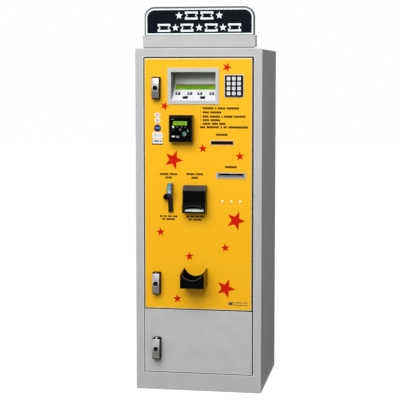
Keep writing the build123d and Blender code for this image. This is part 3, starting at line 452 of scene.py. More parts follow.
# Metal
ZINC = surface(
    "zinc", "zinc_steel", (0.42, 0.43, 0.44), 0.38, metallic=0.8, vary=0.15, patch=14.0, grain=0.1,
)
CHROME = surface("bright_chrome", "chrome", (0.78, 0.78, 0.78), 0.12, metallic=1.0, vary=0.03, patch=25.0)
POLISHED = surface("polished_cap", "chrome", (0.88, 0.86, 0.80), 0.4, metallic=0.35, vary=0.03, patch=4.0)
BRUSHED = surface(
    "brushed_steel", "steel_bright", (0.62, 0.62, 0.64), 0.30, metallic=1.0, grain=0.15, grain_size=0.5,
    stretch=(0.05, 1, 1),
)
SATIN_RIM = surface("satin_rim", "steel_bright", (0.66, 0.63, 0.62), 0.45, vary=0.05, patch=10.0, grain=0.1)
ALUMINIUM = surface(
    "aluminium_case", "electronics", (0.50, 0.51, 0.52), 0.35, metallic=1.0, grain=0.15,
    stretch=(1, 1, 0.05),
)

# Prints and paper
YELLOW_PRINT = ink("yellow_vinyl", YELLOW, 0.45, vary=0.02, patch=180.0, grain=0.08, specular=0.22)
RED_PRINT = ink("red_ink", RED, vary=0.10, patch=12.0, specular=0.05)
BLACK_PRINT = ink("black_ink", INK_BLACK, vary=0.2, patch=5.0, specular=0.1)
WHITE_PRINT = ink("white_ink", WHITE, 0.4, vary=0.03, patch=10.0, specular=0.3)
GREY_PRINT = ink("grey_ink", (0.22, 0.23, 0.27), patch=6.0, specular=0.3)
PALE_PRINT = ink("pale_ink", (0.60, 0.60, 0.68), patch=6.0, specular=0.3)
TEAL_PRINT = ink("teal_ink", (0.02, 0.07, 0.06), vary=0.1, patch=6.0)
BLUE_PRINT = ink("blue_ink", (0.006, 0.020, 0.12), 0.4, patch=8.0, specular=0.12)
PALE_BLUE_PRINT = ink("pale_blue_ink", (0.13, 0.20, 0.50), 0.4, patch=4.0)
SIGN_PANEL = surface("sign_panel", "sign_print", SIGN_NAVY, 0.10, vary=0.2, patch=90.0, specular=0.3)
SIGN_WHITE = surface("sign_white", "sign_print", (0.78, 0.82, 0.84), 0.4, patch=20.0, emission=0.12)
SIGN_BORDER = surface("sign_border", "sign_print", SIGN_GREY, 0.4, patch=20.0)
PANEL_PRINT = surface("panel_white_print", "panel_white", WHITE, 0.45, vary=0.02, patch=30.0, specular=0.3)
CARD = surface(
    "card_stock", "paper", (0.72, 0.62, 0.40), 0.8, vary=0.06, grain=0.4, grain_size=1.4,
    stretch=(0.05, 0.05, 1),
)

# Plastic and screens
SCREEN_PATCH = 25.0
SCREEN_GLOW = 0.3
SCREEN_SPECULAR = 0.05
SCREEN = surface(
    "green_screen", "screen_green", GREEN, 0.4, vary=0.12, patch=SCREEN_PATCH, specular=SCREEN_SPECULAR,
    emission=SCREEN_GLOW,
)
SCREEN_INK = surface("screen_ink", "screen_green", (0.12, 0.27, 0.008), 0.4, patch=6.0)
SCREEN_SHADOW = surface("screen_shadow", "screen_green", (0.018, 0.085, 0.004), 0.4, patch=20.0)
KEY_WHITE = surface("white_key", "key_white", (0.76, 0.76, 0.79), 0.4, vary=0.03, patch=6.0, grain=0.1)
KEY_INK = surface("key_ink", "key_white", (0.30, 0.30, 0.32), 0.5, patch=4.0)
KEY_MARK = surface("key_mark", "key_white", (0.74, 0.74, 0.76), 0.5, patch=4.0)
KEY_BLACK = surface("black_key", "key_black", BLACK, 0.45, vary=0.2, patch=6.0, grain=0.2, specular=0.2)
GLOSS_BLACK = surface("gloss_black", "black_gloss", BLACK, 0.20, vary=0.2, patch=30.0, specular=0.14)
FINE_BLACK = surface(
    "fine_black", "black_matte", BLACK, 0.6, vary=0.2, patch=20.0, grain=0.2, grain_size=0.8, specular=0.1,
)
# Painted shadow for the gap under the sign
SIGN_GAP_PAINTED_SHADOW = surface("painted_gap_shadow", "black_matte", (0.26, 0.25, 0.245), 0.8, patch=30.0, specular=0.1)
DARK_RUBBER = surface("dark_rubber", "black_matte", (0.09, 0.085, 0.08), 0.8, patch=30.0, specular=0.1)
# Painted highlight for rims on glossy black parts
PAINTED_RIM_HIGHLIGHT = mark("painted_rim_highlight", (0.10, 0.10, 0.10), patch=10.0)
DIM_MARK = mark("dim_mark", (0.11, 0.10, 0.105), vary=0.2, patch=3.0)
FAINT_MARK = mark("faint_mark", (0.014, 0.020, 0.020), vary=0.3, patch=4.0)
PALE_MARK = mark("pale_mark", (0.70, 0.68, 0.72), patch=4.0)
GREY_MARK = mark("grey_mark", (0.35, 0.35, 0.33), vary=0.3, patch=3.0)
TEAL_MARK = mark("teal_mark", (0.045, 0.15, 0.105), vary=0.15, patch=5.0)
MINT_MARK = mark("mint_mark", (0.16, 0.30, 0.26), patch=4.0)
SAND_MARK = mark("sand_mark", (0.30, 0.24, 0.17), vary=0.2, patch=3.0)
DEVICE = surface(
    "device_casing", "device_grey", (0.045, 0.048, 0.052), 0.5, vary=0.1, grain=0.5, grain_size=1.0,
)
LAMP_ON = surface("lamp_on", "screen_green", (0.55, 0.88, 0.58), 0.3, patch=4.0, emission=0.2)
LIT_STRIP = surface("lit_strip", "panel_white", (0.66, 0.70, 0.64), 0.4, patch=20.0, emission=0.25)

# Zones of the materials with several tones, some of them painted light or shade as said at each. A pair
# holds the place where a zone begins to show and the place where it is full, in millimetres. A pair named
# FACE holds values of the surface's normal instead
# Painted reflection on the handles: bright above the split, grey below it
HANDLE_PAINTED_HIGHLIGHT = (0.50, 0.49, 0.495)
HANDLE_PAINTED_DARK_REFLECTION = (0.20, 0.195, 0.185)
HANDLE_REFLECTION_SPLIT = (0.47, 0.53)  # as shares of the handle's height
HANDLE_FACE = (-0.65, -0.75)
HANDLE_METALLIC = 0.35
HANDLE_STRETCH = (1, 1, 0.1)
# Painted shade inside the display's hood: light at its foot, dark under its ceiling and on its side wall
HOOD_SHADE_HEIGHTS = (1354.0, 1384.0)
HOOD_DEPTHS = (1.5, 2.5)  # behind the overlay's face
HOOD_SHADED_SIDE_FACE = (0.5, 0.7)
HOOD_PAINTED_SHADE = (0.33, 0.33, 0.32)
HOOD_LIT_FOOT = (0.92, 0.92, 0.92)
HOOD_SIDE_PAINTED_SHADE = (0.20, 0.20, 0.20)
LCD_FACE = (-0.2, -0.4)
LCD_VARIATION = 0.1
NOSE_FOOT = (874.5, 877.5)
# Painted reflection on the coin inlet's nose: a stripe from white below to teal on top
NOSE_REFLECTION_HEIGHTS = (884.0, 910.0)
NOSE_PAINTED_HIGHLIGHT = (0.62, 0.90, 1.0)
NOSE_PAINTED_REFLECTION_TEAL = (0.03, 0.30, 0.42)
NOSE_BLUE = (0.003, 0.016, 0.10)
NOSE_SHADE = (0.010, 0.05, 0.065)
REFLECTION_LEFT = (-127.5, -125.5)
REFLECTION_RIGHT = (-115.0, -112.0)
BAND_FOOT = (849.0, 853.0)
BOSS_RIGHT = (-131.5, -128.5)
BOSS_BLUE = (0.010, 0.008, 0.07)
NOTE_BEVEL = (887.5, 888.5)
NOTE_FACE = (-0.4, -0.6)
NOTE_LINE_PITCH = 3.2
NOTE_LINE_WAVE = 0.6
# Painted highlight on the note bezel's upper bevel, in two greys along its fine lines
NOTE_HIGHLIGHT_LINE_DARK = (0.050, 0.049, 0.048)
NOTE_HIGHLIGHT_LINE_LIGHT = (0.066, 0.065, 0.063)
WAVE_PERIOD = pi / 10  # of the wave texture at a scale of 1
RAMP_FACE = (0.25, 0.35)
# Ramp of the ticket mouth: painted shade, lit at its foot and darker towards its top
RAMP_LIT = (0.25, 0.25, 0.28)
RAMP_PAINTED_SHADE = (0.10, 0.10, 0.11)
TICKET_RIM = (0.52, 0.52, 0.56)


def handle_finish():
    """Handle with a painted reflection: a bright upper part stands for a lamp's highlight and a grey lower
    part for a darker reflection. Its sides are black.
    """
    material, shader, place = new_material("handle_finish", "chrome")
    front = facing(place, "Y", *HANDLE_FACE)
    # painted highlight on the upper part of the handle's face
    upper = spread(along(place.node.outputs["Generated"], "Z"), 0, 1, *HANDLE_REFLECTION_SPLIT)
    feed(shader, {
        "Base Color": blend(front, BLACK, blend(upper, HANDLE_PAINTED_DARK_REFLECTION, HANDLE_PAINTED_HIGHLIGHT)),
        "Metallic": spread(front, 0, HANDLE_METALLIC, 0, 1),
        "Roughness": spread(noise(place, 0.6, stretch=HANDLE_STRETCH), 0.35, 0.5),
        "Specular IOR Level": 0.3,
    })
    return material


def bezel_finish():
    """Lavender grey bezel, with painted shade on the hood inside it: lit at its foot, darker towards its
    ceiling and darker on its side wall.
    """
    material, shader, place = new_material("bezel_finish", "bezel_grey")
    inside = ramp(place, "Y", *(OVERLAY_Y + depth for depth in HOOD_DEPTHS))
    # painted shade: darker towards the hood's ceiling and on its side wall
    hood = blend(ramp(place, "Z", *HOOD_SHADE_HEIGHTS), HOOD_LIT_FOOT, HOOD_PAINTED_SHADE)
    hood = blend(facing(place, "X", *HOOD_SHADED_SIDE_FACE), hood, HOOD_SIDE_PAINTED_SHADE)
    feed(shader, {
        "Base Color": blend(inside, LAVENDER, hood),
        "Roughness": spread(noise(place, 1.0), 0.45, 0.6),
        "Specular IOR Level": 0.2,
    })
    return material


def lcd_finish():
    """Green glass in front and a dark casing behind."""
    material, shader, place = new_material("lcd_finish", "screen_green")
    front = facing(place, "Y", *LCD_FACE)
    cloud = spread(noise(place, SCREEN_PATCH), 0, 1)
    glass = blend(cloud, shade(GREEN, 1 - LCD_VARIATION), shade(GREEN, 1 + LCD_VARIATION))
    feed(shader, {
        "Base Color": blend(front, BLACK, glass),
        "Emission Color": (*GREEN, 1),
        "Emission Strength": spread(front, 0, SCREEN_GLOW, 0, 1),
        "Roughness": 0.4,
        "Specular IOR Level": SCREEN_SPECULAR,
    })
    return material


def coin_inlet_finish():
    """Black body, deep blue at its nose, with a painted reflection on the nose: a bright stripe that fades
    from white below to teal on top.
    """
    material, shader, place = new_material("coin_inlet_finish", "black_gloss")
    # painted reflection: the bright stripe down the nose
    stripe = blend(ramp(place, "Z", *NOSE_REFLECTION_HEIGHTS), NOSE_PAINTED_HIGHLIGHT, NOSE_PAINTED_REFLECTION_TEAL)
    stripe = blend(ramp(place, "X", *REFLECTION_RIGHT), stripe, NOSE_BLUE)
    nose = blend(ramp(place, "X", *REFLECTION_LEFT), NOSE_SHADE, stripe)
    boss = blend(ramp(place, "X", *BOSS_RIGHT), BLACK, BOSS_BLUE)
    body = blend(ramp(place, "Z", *BAND_FOOT), BLACK, boss)
    feed(shader, {
        "Base Color": blend(ramp(place, "Z", *NOSE_FOOT), body, nose),
        "Roughness": spread(noise(place, 3.0), 0.24, 0.30),
        "Specular IOR Level": 0.3,
    })
    return material


def note_bezel_finish():
    """Black bezel with a finely lined upper bevel, whose grey is a painted highlight."""
    material, shader, place = new_material("note_bezel_finish", "black_gloss")
    scale = WAVE_PERIOD / (NOTE_LINE_PITCH * MM)
    lines = follow("ShaderNodeTexWave", {"Vector": place, "Scale": scale, "Distortion": NOTE_LINE_WAVE})
    lines.bands_direction = "Z"
    # painted highlight: grey on the upper bevel
    lined = blend(lines.outputs["Fac"], NOTE_HIGHLIGHT_LINE_DARK, NOTE_HIGHLIGHT_LINE_LIGHT)
    bevel = blend(facing(place, "Y", *NOTE_FACE), BLACK, lined)
    feed(shader, {
        "Base Color": blend(ramp(place, "Z", *NOTE_BEVEL), BLACK, bevel),
        "Roughness": spread(noise(place, 2.0), 0.24, 0.30),
        "Specular IOR Level": 0.14,
    })
    return material


def ticket_bezel_finish():
    """Pale rim with a grey ramp, with painted shade that darkens the ramp towards its top, inside the mouth.
    """
    material, shader, place = new_material("ticket_bezel_finish", "steel_bright")
    heights = (limits("ticket_bezel")[0].z, middle("ticket_bezel").z)
    shaded_slope = blend(ramp(place, "Z", *heights), RAMP_LIT, RAMP_PAINTED_SHADE)
    feed(shader, {
        "Base Color": blend(facing(place, "Z", *RAMP_FACE), TICKET_RIM, shaded_slope),
        "Roughness": spread(noise(place, 1.5), 0.4, 0.5),
        "Specular IOR Level": 0.25,
    })
    return material


# Drawing values shared by several prints
STAR_POINTS = 5
STAR_WAIST = 0.41  # inner radius as a share of the outer one
TICKET_NOTCH = 0.2  # notch at a ticket's ends, as a share of its height
CAP_SHARE = 0.70  # height of a digit as a share of the font's size
LETTER_WIDTH = 0.86  # width of a letter block as a share of the pitch
WORD_GAP = 0.8  # gap between words, in pitches

LOCKS = ("top", "middle", "lower")
PANEL_KEYS = [name for name in frame["nodes"] if name.startswith(("soft_key", "menu_key"))]
KEYPAD_KEYS = [name for name in frame["nodes"] if name.startswith("key_")]


def dress_packed_parts():
    """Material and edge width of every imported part."""
    groups = (
        (POWDER_COAT, BODY_EDGE, ("cabinet_wrap", "sign_base")),
        (POWDER_COAT, SHEET_EDGE, ("back_panel",)),
        (POWDER_COAT, 0, ("front_frame",)),
        (DOOR_COAT, EDGE, ("upper_door", "lower_door")),
        (YELLOW_PRINT, 0, ("yellow_overlay",)),
        (SIGN_CASE, EDGE, ("sign_case",)),
        (SIGN_PANEL, EDGE, ("sign_face",)),
        (ZINC, SHEET_EDGE, ("floor_panel",)),
        (ZINC, EDGE, ("divider_shelf", "ticket_bin", "ticket_feeder", "cash_box")),
        (CARD, EDGE, ("ticket_pack",)),
        (ALUMINIUM, EDGE, ("electronics_tray",)),
        (DEVICE, EDGE, ("receipt_printer", "coin_validator", "note_acceptor")),
        (LOCK_BLACK, EDGE, ("hinge_pivots", "upper_lock_housings", "lower_lock_housing")),
        (LOCK_BLACK, FINE_EDGE, [f"{lock}_lock_plug" for lock in LOCKS]),
        (BRUSHED, FINE_EDGE, [f"{lock}_lock_bolt" for lock in LOCKS]),
        (handle_finish(), SHEET_EDGE, [f"{lock}_lock_handle" for lock in LOCKS]),
        (bezel_finish(), EDGE, ("display_bezel",)),
        (PANEL_PRINT, EDGE, ("display_panel",)),
        (lcd_finish(), 0, ("lcd_screen",)),
        (KEY_BLACK, EDGE, PANEL_KEYS),
        (FINE_BLACK, EDGE, ("keypad_plate",)),
        (KEY_WHITE, EDGE, KEYPAD_KEYS),
        (GLOSS_BLACK, BODY_EDGE, ("card_reader", "coin_cup")),
        (GLOSS_BLACK, EDGE, ("coin_return_button",)),
        (ticket_bezel_finish(), EDGE, ("ticket_bezel",)),
        (POLISHED, 0, ("dome_bolts",)),
        (coin_inlet_finish(), MOULDED_EDGE, ("coin_inlet",)),
        (note_bezel_finish(), BODY_EDGE, ("note_bezel",)),
    )
    for material, edge, names in groups:
        for name in names:
            node = frame["nodes"][name]
            node.data.materials.clear()
            node.data.materials.append(material)
            if edge:
                round_edges(node, edge)


# Painted highlights and shade at the folded edges, a painted shadow under the sign, and stops round the
# doors
DOORWAY = ((-242.0, 242.0), (77.0, 1464.0))  # limits in X and Z
# Widths of the painted highlights along folded edges, and of the painted shade along the upper door's edge
FRAME_HIGHLIGHT_WIDTH = 3.5
DOOR_HIGHLIGHT_WIDTH = 2.2
DOOR_PAINTED_SHADE_EDGE = 2.0
DOOR_TOP_PAINTED_SHADE = 0.8
DOOR_TOP_HIGHLIGHT = 3.8
ROOF_HIGHLIGHT = 4.0
STOP_DEPTH = 25.0  # back of the door stop, behind the door's face
STOP_WIDTH = 6.0
# Painted shadow strip in the gap under the sign's base
SIGN_SHADOW_STRIP = 4.6
SIGN_SHADOW_STRIP_SETBACK = 14.0


def edges_and_seals():
    """Painted highlights on the folded edges, painted shade along the upper door's edge, the stop behind the
    doors' gaps and a painted shadow under the sign.
    """
    doorway = between(*DOORWAY)
    # painted highlight round the doorway's folded edge
    ring("doorway_painted_highlight", between(*DOORWAY, FRAME_HIGHLIGHT_WIDTH), doorway, DOOR_Y, THIN, PAINTED_BEND_HIGHLIGHT, "cabinet")
    stop = between(*DOORWAY, -STOP_WIDTH)
    ring("door_stop", doorway, stop, DOOR_Y + STOP_DEPTH, TRIM, DARK_RUBBER, "cabinet")
    # painted highlight along each door's folded edge
    for door, face, painted_shade_edge, material in (
        ("upper_door", OVERLAY_Y, DOOR_PAINTED_SHADE_EDGE, PAINTED_CREAM_EDGE_HIGHLIGHT),
        ("lower_door", DOOR_Y, 0, PAINTED_DOOR_BEND_HIGHLIGHT),
    ):
        outer, inner = front_outline(door, -painted_shade_edge), front_outline(door, -painted_shade_edge - DOOR_HIGHLIGHT_WIDTH)
        ring(f"{door}_bend", outer, inner, face, THIN, material, door)
        if painted_shade_edge:
            # painted shade in black along the upper door's folded edge
            ring(f"{door}_seam", front_outline(door), outer, face, THIN, FINE_BLACK, door)
    # painted highlight along the upper door's top edge
    low, high = limits("upper_door")
    inside_shade_x = (low.x + DOOR_PAINTED_SHADE_EDGE, high.x - DOOR_PAINTED_SHADE_EDGE)
    bend_top = high.z - DOOR_TOP_PAINTED_SHADE
    painted_bend_highlight = between(inside_shade_x, (bend_top - DOOR_TOP_HIGHLIGHT, bend_top))
    plate("upper_door_top_painted_highlight", [painted_bend_highlight], OVERLAY_Y, 2 * THIN, PAINTED_CREAM_TOP_HIGHLIGHT)
    # painted highlight along the frame's top edge
    low, high = limits("front_frame")
    top = between((low.x, high.x), (high.z - ROOF_HIGHLIGHT, high.z))
    plate("frame_top_painted_highlight", [top], DOOR_Y, THIN, PAINTED_BEND_HIGHLIGHT, "cabinet")
    # painted shadow in the gap under the sign's base
    base = limits("sign_base")[0]
    gap = (high.z, high.z + SIGN_SHADOW_STRIP)
    shadow_strip = between((base.x + SIGN_SHADOW_STRIP, -base.x - SIGN_SHADOW_STRIP), gap)
    plate("sign_gap_painted_shadow", [shadow_strip], DOOR_Y + SIGN_SHADOW_STRIP_SETBACK, TRIM, SIGN_GAP_PAINTED_SHADOW, "cabinet")


# Back of the cabinet
SCREW_R = 4.0
SCREW_HEIGHT = 1.6
SCREW_EDGE = 10.0
SCREW_ROWS = 7
SCREW_COLUMNS = 3
CABLE_HOLE = (215.0, 300.0)
CABLE_HOLE_R = 10.25
GROMMET_WIDTH = 4.0
GROMMET_HEIGHT = 2.0


def back_trim():
    """Screws along the back sheet's edges and a rubber ring in its cable hole."""
    low, high = limits("back_panel")
    left, right = low.x + SCREW_EDGE, high.x - SCREW_EDGE
    bottom, top = low.z + SCREW_EDGE, high.z - SCREW_EDGE
    places = [(x, z) for x in (left, right) for z in steps_between(bottom, top, SCREW_ROWS)]
    places += [(x, z) for z in (bottom, top) for x in steps_between(left, right, SCREW_COLUMNS + 2)[1:-1]]
    domes("back_screws", places, SCREW_R, high.y, -SCREW_HEIGHT, ZINC, "cabinet")
    flange, hole = circle(*CABLE_HOLE, CABLE_HOLE_R + GROMMET_WIDTH), circle(*CABLE_HOLE, CABLE_HOLE_R)
    ring("cable_grommet", flange, hole, high.y + GROMMET_HEIGHT, GROMMET_HEIGHT, FINE_BLACK, "cabinet")


# Prints on the overlay, with centres from the photograph
BIG_STAR = 44.0
SMALL_STAR = 21.0
POINT_RIGHT = -3.0
POINT_UP = 95.0
STARS = (
    (125, 1418, SMALL_STAR, POINT_RIGHT),
    (-148, 1251, SMALL_STAR, POINT_RIGHT),
    (20, 1068.5, SMALL_STAR, POINT_UP),
    (-109, 1018, BIG_STAR, POINT_RIGHT),
    (182, 1036, SMALL_STAR, POINT_UP),
    (165, 757, BIG_STAR, POINT_RIGHT),
    (-167, 701, SMALL_STAR, POINT_UP),
    (119, 637.5, SMALL_STAR, POINT_UP),
    (-39, 596.5, SMALL_STAR, POINT_UP),
    (121, 459, BIG_STAR, POINT_RIGHT),
    (-93, 408.5, SMALL_STAR, POINT_UP),
)


def stars():
    """Red stars over the overlay, one piece each."""
    for number, (x, z, radius, turn) in enumerate(STARS, start=1):
        plate(f"star_{number}", [star(x, z, radius, turn)], OVERLAY_Y, INK, RED_PRINT)


# Instruction lines: height of the letters, middle of the numbers and left edge of the words, then the place,
# length and word lengths of each line
LINE_HEIGHT = 9.0
NUMERAL_X = 10.0
FIRST_WORD_X = 20.5
INSTRUCTION_LINES = (
    (1242.0, 158, (7, 1, 5, 8)),
    (1224.5, 80, (4, 7)),
    (1206.5, 185, (4, 7, 1, 6, 8)),
    (1191.0, 75, (4, 6)),
    (1175.5, 98, (5, 4, 4)),
)
LAST_LINE = (8.0, 1160.5, 208, LINE_HEIGHT, (3, 7, 1, 2, 11))


def instructions():
    """Five numbered lines and one plain line beside the card reader."""
    for number, (z, length, counts) in enumerate(INSTRUCTION_LINES, start=1):
        numeral(f"step_{number}", str(number), NUMERAL_X, z, LINE_HEIGHT, OVERLAY_Y, BLACK_PRINT)
        line = words(FIRST_WORD_X, z, length, LINE_HEIGHT, counts)
        plate(f"step_{number}_line", line, OVERLAY_Y, INK, BLACK_PRINT)
    plate("last_line", words(*LAST_LINE), OVERLAY_Y, INK, BLACK_PRINT)


# Short labels over and under the inlets: centre, length, height and word lengths
LABELS = {
    "receipt_label": ((102.5, 1128.5, 50, 9, (7,)),),
    "ticket_label": ((143, 989, 51, 9, (7,)),),
    "coin_label": ((-131.5, 955.5, 75, 8.5, (6, 5)), (-131.5, 940.5, 29, 8.5, (4,))),
    "note_label": ((-15.5, 956.5, 73, 8.5, (6, 5)), (-15.5, 941, 28, 8.5, (4,))),
    "coin_values": ((-131.5, 771, 77, 8, (2, 2, 3, 3)), (-131.5, 758.5, 56, 8, (2, 6))),
    "note_values": ((-13.5, 771, 77, 8, (2, 3, 3, 3)), (-13.5, 758, 57, 8, (2, 6))),
}


def labels():
    """Plain block lines in place of the printed words."""
    for name, lines in LABELS.items():
        plate(name, centred_lines(lines), OVERLAY_Y, INK, BLACK_PRINT)


# Plain ticket and two rows of small blocks in the door's lower corner
CORNER_TICKET = (143.5, 393.0, 20.0, 13.0)
CORNER_ROWS = ((187, 397.5, 60, 4, (10, 6)), (187, 387, 60, 4, (12, 4)))


def corner_mark():
    """Plain mark in the lower corner of the upper door."""
    plate("corner_ticket", [ticket(*CORNER_TICKET)], OVERLAY_Y, INK, TEAL_PRINT)
    plate("corner_rows", centred_lines(CORNER_ROWS), OVERLAY_Y, INK, TEAL_PRINT)


# Payment stickers, down one line: outline of each, its ground and its ink, and its marks
STICKER_X = -179.5
OVAL_Z = 1213.0
CIRCLE_Z = 1189.0
DISC_Z = 1155.0
UPPER_CARD_Z = 1124.0
LOWER_CARD_Z = 1095.5
STICKERS = {
    "oval": (ellipse(STICKER_X, OVAL_Z, 27, 17), WHITE_PRINT, GREY_PRINT,
             [rectangle(STICKER_X - 3, OVAL_Z, 8, 5), rectangle(STICKER_X + 6, OVAL_Z, 6, 3)]),
    "circle": (circle(STICKER_X, CIRCLE_Z, 12.5), WHITE_PRINT, GREY_PRINT,
               [ellipse(STICKER_X, CIRCLE_Z + 1, 8, 9), rectangle(STICKER_X, CIRCLE_Z - 7, 13, 2)]),
    "disc": (circle(STICKER_X, DISC_Z, 15.5), BLUE_PRINT, PALE_BLUE_PRINT,
             [rectangle(STICKER_X, DISC_Z + 1, 20, 7)]),
    "upper_card": (rounded_rectangle(STICKER_X, UPPER_CARD_Z, 45, 26, 3), WHITE_PRINT, PALE_PRINT,
                   [rectangle(STICKER_X - 9, UPPER_CARD_Z + 1, 15, 11),
                    rectangle(STICKER_X + 10, UPPER_CARD_Z - 1, 13, 5)]),
    "lower_card": (rounded_rectangle(STICKER_X, LOWER_CARD_Z + 2.5, 45, 20, 2), WHITE_PRINT, GREY_PRINT,
                   [rectangle(STICKER_X - 5, LOWER_CARD_Z + 3, 23, 8),
                    circle(STICKER_X + 14, LOWER_CARD_Z + 3, 4)]),
}
CARD_BACK = rounded_rectangle(STICKER_X, LOWER_CARD_Z, 48, 25, 2)


def stickers():
    """Five bare stickers with plain marks, the lowest with a black foot."""
    plate("sticker_card_back", [CARD_BACK], OVERLAY_Y, LAYER, BLACK_PRINT)
    for name, (outline, sheet_print, mark_print, marks) in STICKERS.items():
        plate(f"sticker_{name}", [outline], OVERLAY_Y, STICKER, sheet_print)
        plate(f"sticker_{name}_mark", marks, OVERLAY_Y - STICKER, LAYER, mark_print)


# Sign drawing: border, line and two rows of plain tickets and stars
SIGN_MARGINS = (3.2, 5.8, 0.8)  # at the sides, the top and the foot
SIGN_LINE = 5.8
SIGN_CORNER = 42.0
SIGN_FOOT = 5.0
SIGN_LEAST_FOOT = 1.0
SIGN_GLYPH = 34.0
TICKET_WIDTH = 56.0
TICKET_STROKE = 8.0
SIGN_ROWS = {  # height, places of the tickets and of the stars
    "upper": (1640.5, (-34.0, 34.0), (-88.0, 88.0)),
    "lower": (1588.5, (-154.0, -53.0, 53.0, 154.0), (-104.0, 0.0, 104.0)),
}


def sign_outline(side=0, head=0, base=0, steps=8):
    """Outline of the sign's face, drawn in by margins: large round corners above, small ones below."""
    low, high = limits("sign_face")
    left, right = low.x + side, high.x - side
    bottom, top = low.z + base, high.z - head
    corner = SIGN_CORNER - side
    foot = max(SIGN_FOOT - side, SIGN_LEAST_FOOT)
    return (
        arc(right - corner, top - corner, corner, 0, 90, steps)
        + arc(left + corner, top - corner, corner, 90, 180, steps)
        + arc(left + foot, bottom + foot, foot, 180, 270, steps)
        + arc(right - foot, bottom + foot, foot, 270, 360, steps)
    )


def sign_print():
    """Grey border and white line round the sign's face, and two rows of plain tickets and stars."""
    line = sign_outline(*SIGN_MARGINS)
    panel = sign_outline(*(margin + SIGN_LINE for margin in SIGN_MARGINS))
    ring("sign_border", sign_outline(), line, SIGN_Y, INK, SIGN_BORDER, "cabinet")
    ring("sign_line", line, panel, SIGN_Y, INK, SIGN_WHITE, "cabinet")
    for row, (z, tickets_x, stars_x) in SIGN_ROWS.items():
        for number, x in enumerate(tickets_x, start=1):
            outside = ticket(x, z, TICKET_WIDTH, SIGN_GLYPH)
            inside = ticket(x, z, TICKET_WIDTH - 2 * TICKET_STROKE, SIGN_GLYPH - 2 * TICKET_STROKE)
            ring(f"sign_{row}_ticket_{number}", outside, inside, SIGN_Y, INK, SIGN_WHITE, "cabinet")
        shapes = [star(x, z, SIGN_GLYPH / 2, turn=90) for x in stars_x]
        plate(f"sign_{row}_stars", shapes, SIGN_Y, INK, SIGN_WHITE, "cabinet")


# Locks
COLLAR_WIDTH = 2.0
COLLAR_SINK = 0.5  # collar's back behind the crown of the handle
PLUG_GAP = 0.1
TAB_WIDTH = 7.0
TAB_DEPTH = 12.0
TAB_THICKNESS = 0.2
TAB_GAP = 1.0


def lock_trim():
    """Bright collar round each plug, and a small bright tab over each handle on its housing."""
    housing_low, housing_high = limits("lower_lock_housing")
    rim = housing_high.z - limits("lower_lock_handle")[1].z
    for lock in LOCKS:
        handle = f"{lock}_lock_handle"
        low, high = limits(handle)
        x, z = middle(handle).xz
        plug_low, plug_high = limits(f"{lock}_lock_plug")
        bore = (plug_high.x - plug_low.x) / 2 + PLUG_GAP
        collar = ring(f"{lock}_lock_collar", circle(x, z, bore + COLLAR_WIDTH), circle(x, z, bore),
                      low.y + COLLAR_SINK, TRIM, SATIN_RIM, handle)
        round_edges(collar, FINE_EDGE)
        door, face = ("lower_door", DOOR_Y) if lock == "lower" else ("upper_door", OVERLAY_Y)
        front = face + housing_low.y - DOOR_Y
        top = high.z + rim
        tab_x = (x - TAB_WIDTH / 2, x + TAB_WIDTH / 2)
        tab, flap = between(tab_x, (high.z + TAB_GAP, top)), between(tab_x, (top, top + TAB_THICKNESS))
        plate(f"{lock}_lock_tab", [tab], front, TAB_THICKNESS, CHROME, door)
        prisms(f"{lock}_lock_flap", [flap], front, front + TAB_DEPTH, CHROME, door)


# Keypad
KEYPAD_RIM = 3.6
RIM_GAP = 0.2
DIGIT_HEIGHT = 8.0
KEY_SIGNS = {"star": "*", "hash": "#"}


def keypad_trim():
    """Pale rim round the keypad's plate and the digits on its keys."""
    outer, inner = front_outline("keypad_plate", KEYPAD_RIM), front_outline("keypad_plate", RIM_GAP)
    round_edges(ring("keypad_rim", outer, inner, OVERLAY_Y, TRIM, SATIN_RIM), FINE_EDGE)
    for name in KEYPAD_KEYS:
        label = name.removeprefix("key_")
        x, z = middle(name).xz
        front = limits(name)[0].y
        numeral(f"digit_{label}", KEY_SIGNS.get(label, label), x, z, DIGIT_HEIGHT, front, KEY_INK, name)


# Sloped display panel
SOFT_KEYS = 4
KEY_DISC_R = 6.4
# Shift of the white half disc to the left edge of its key, leaving a painted shadow of the key's black on
# the left
KEY_PAINTED_SHADOW_SHIFT = 0.55
SCREEN_SHADOW_BAND = (0.0, 16.4, 183.0, 5.0)
SCREEN_LINES = ((0, 6, 130, 7, (4, 6, 5, 7)), (0, -8, 100, 7, (8, 3, 6)))


def halfway(values):
    """Value halfway between the lowest and the highest."""
    return (min(values) + max(values)) / 2


def on_slope(name, outlines, node, material, body="upper_door"):
    """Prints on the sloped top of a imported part, drawn about the middle of that face."""
    press = next(joint for joint in frame["joints"] if joint["name"] == "soft_key_1_press")
    outward = -Vector(press["axis"]).normalized()
    up = Vector((0, outward.z, -outward.y))
    corners = [vertex.co / MM for vertex in frame["nodes"][node].data.vertices]
    top = max(corner.dot(outward) for corner in corners)
    face = [corner for corner in corners if corner.dot(outward) > top - LAYER]
    across, rise = halfway([corner.x for corner in face]), halfway([corner.dot(up) for corner in face])

    def slope_view(x, height, depth):
        return Vector((across + x, 0, 0)) + up * (rise + height) + outward * (top + depth)

    return prisms(name, outlines, INK, 0, material, body, slope_view)


def display_trim():
    """White half discs on the display's soft keys, which leave the keys' black on their left as a painted
    shadow, and a shadow and two faint lines of blocks on its screen.
    """
    half_disc = arc(-KEY_DISC_R * KEY_PAINTED_SHADOW_SHIFT, 0, KEY_DISC_R, -90, 90, steps=12)
    for number in range(1, SOFT_KEYS + 1):
        name = f"soft_key_{number}"
        on_slope(f"{name}_mark", [half_disc], name, KEY_MARK, name)
    on_slope("display_text", centred_lines(SCREEN_LINES), "lcd_screen", SCREEN_INK)
    on_slope("display_screen_shadow", [rectangle(*SCREEN_SHADOW_BAND)], "lcd_screen", SCREEN_SHADOW)


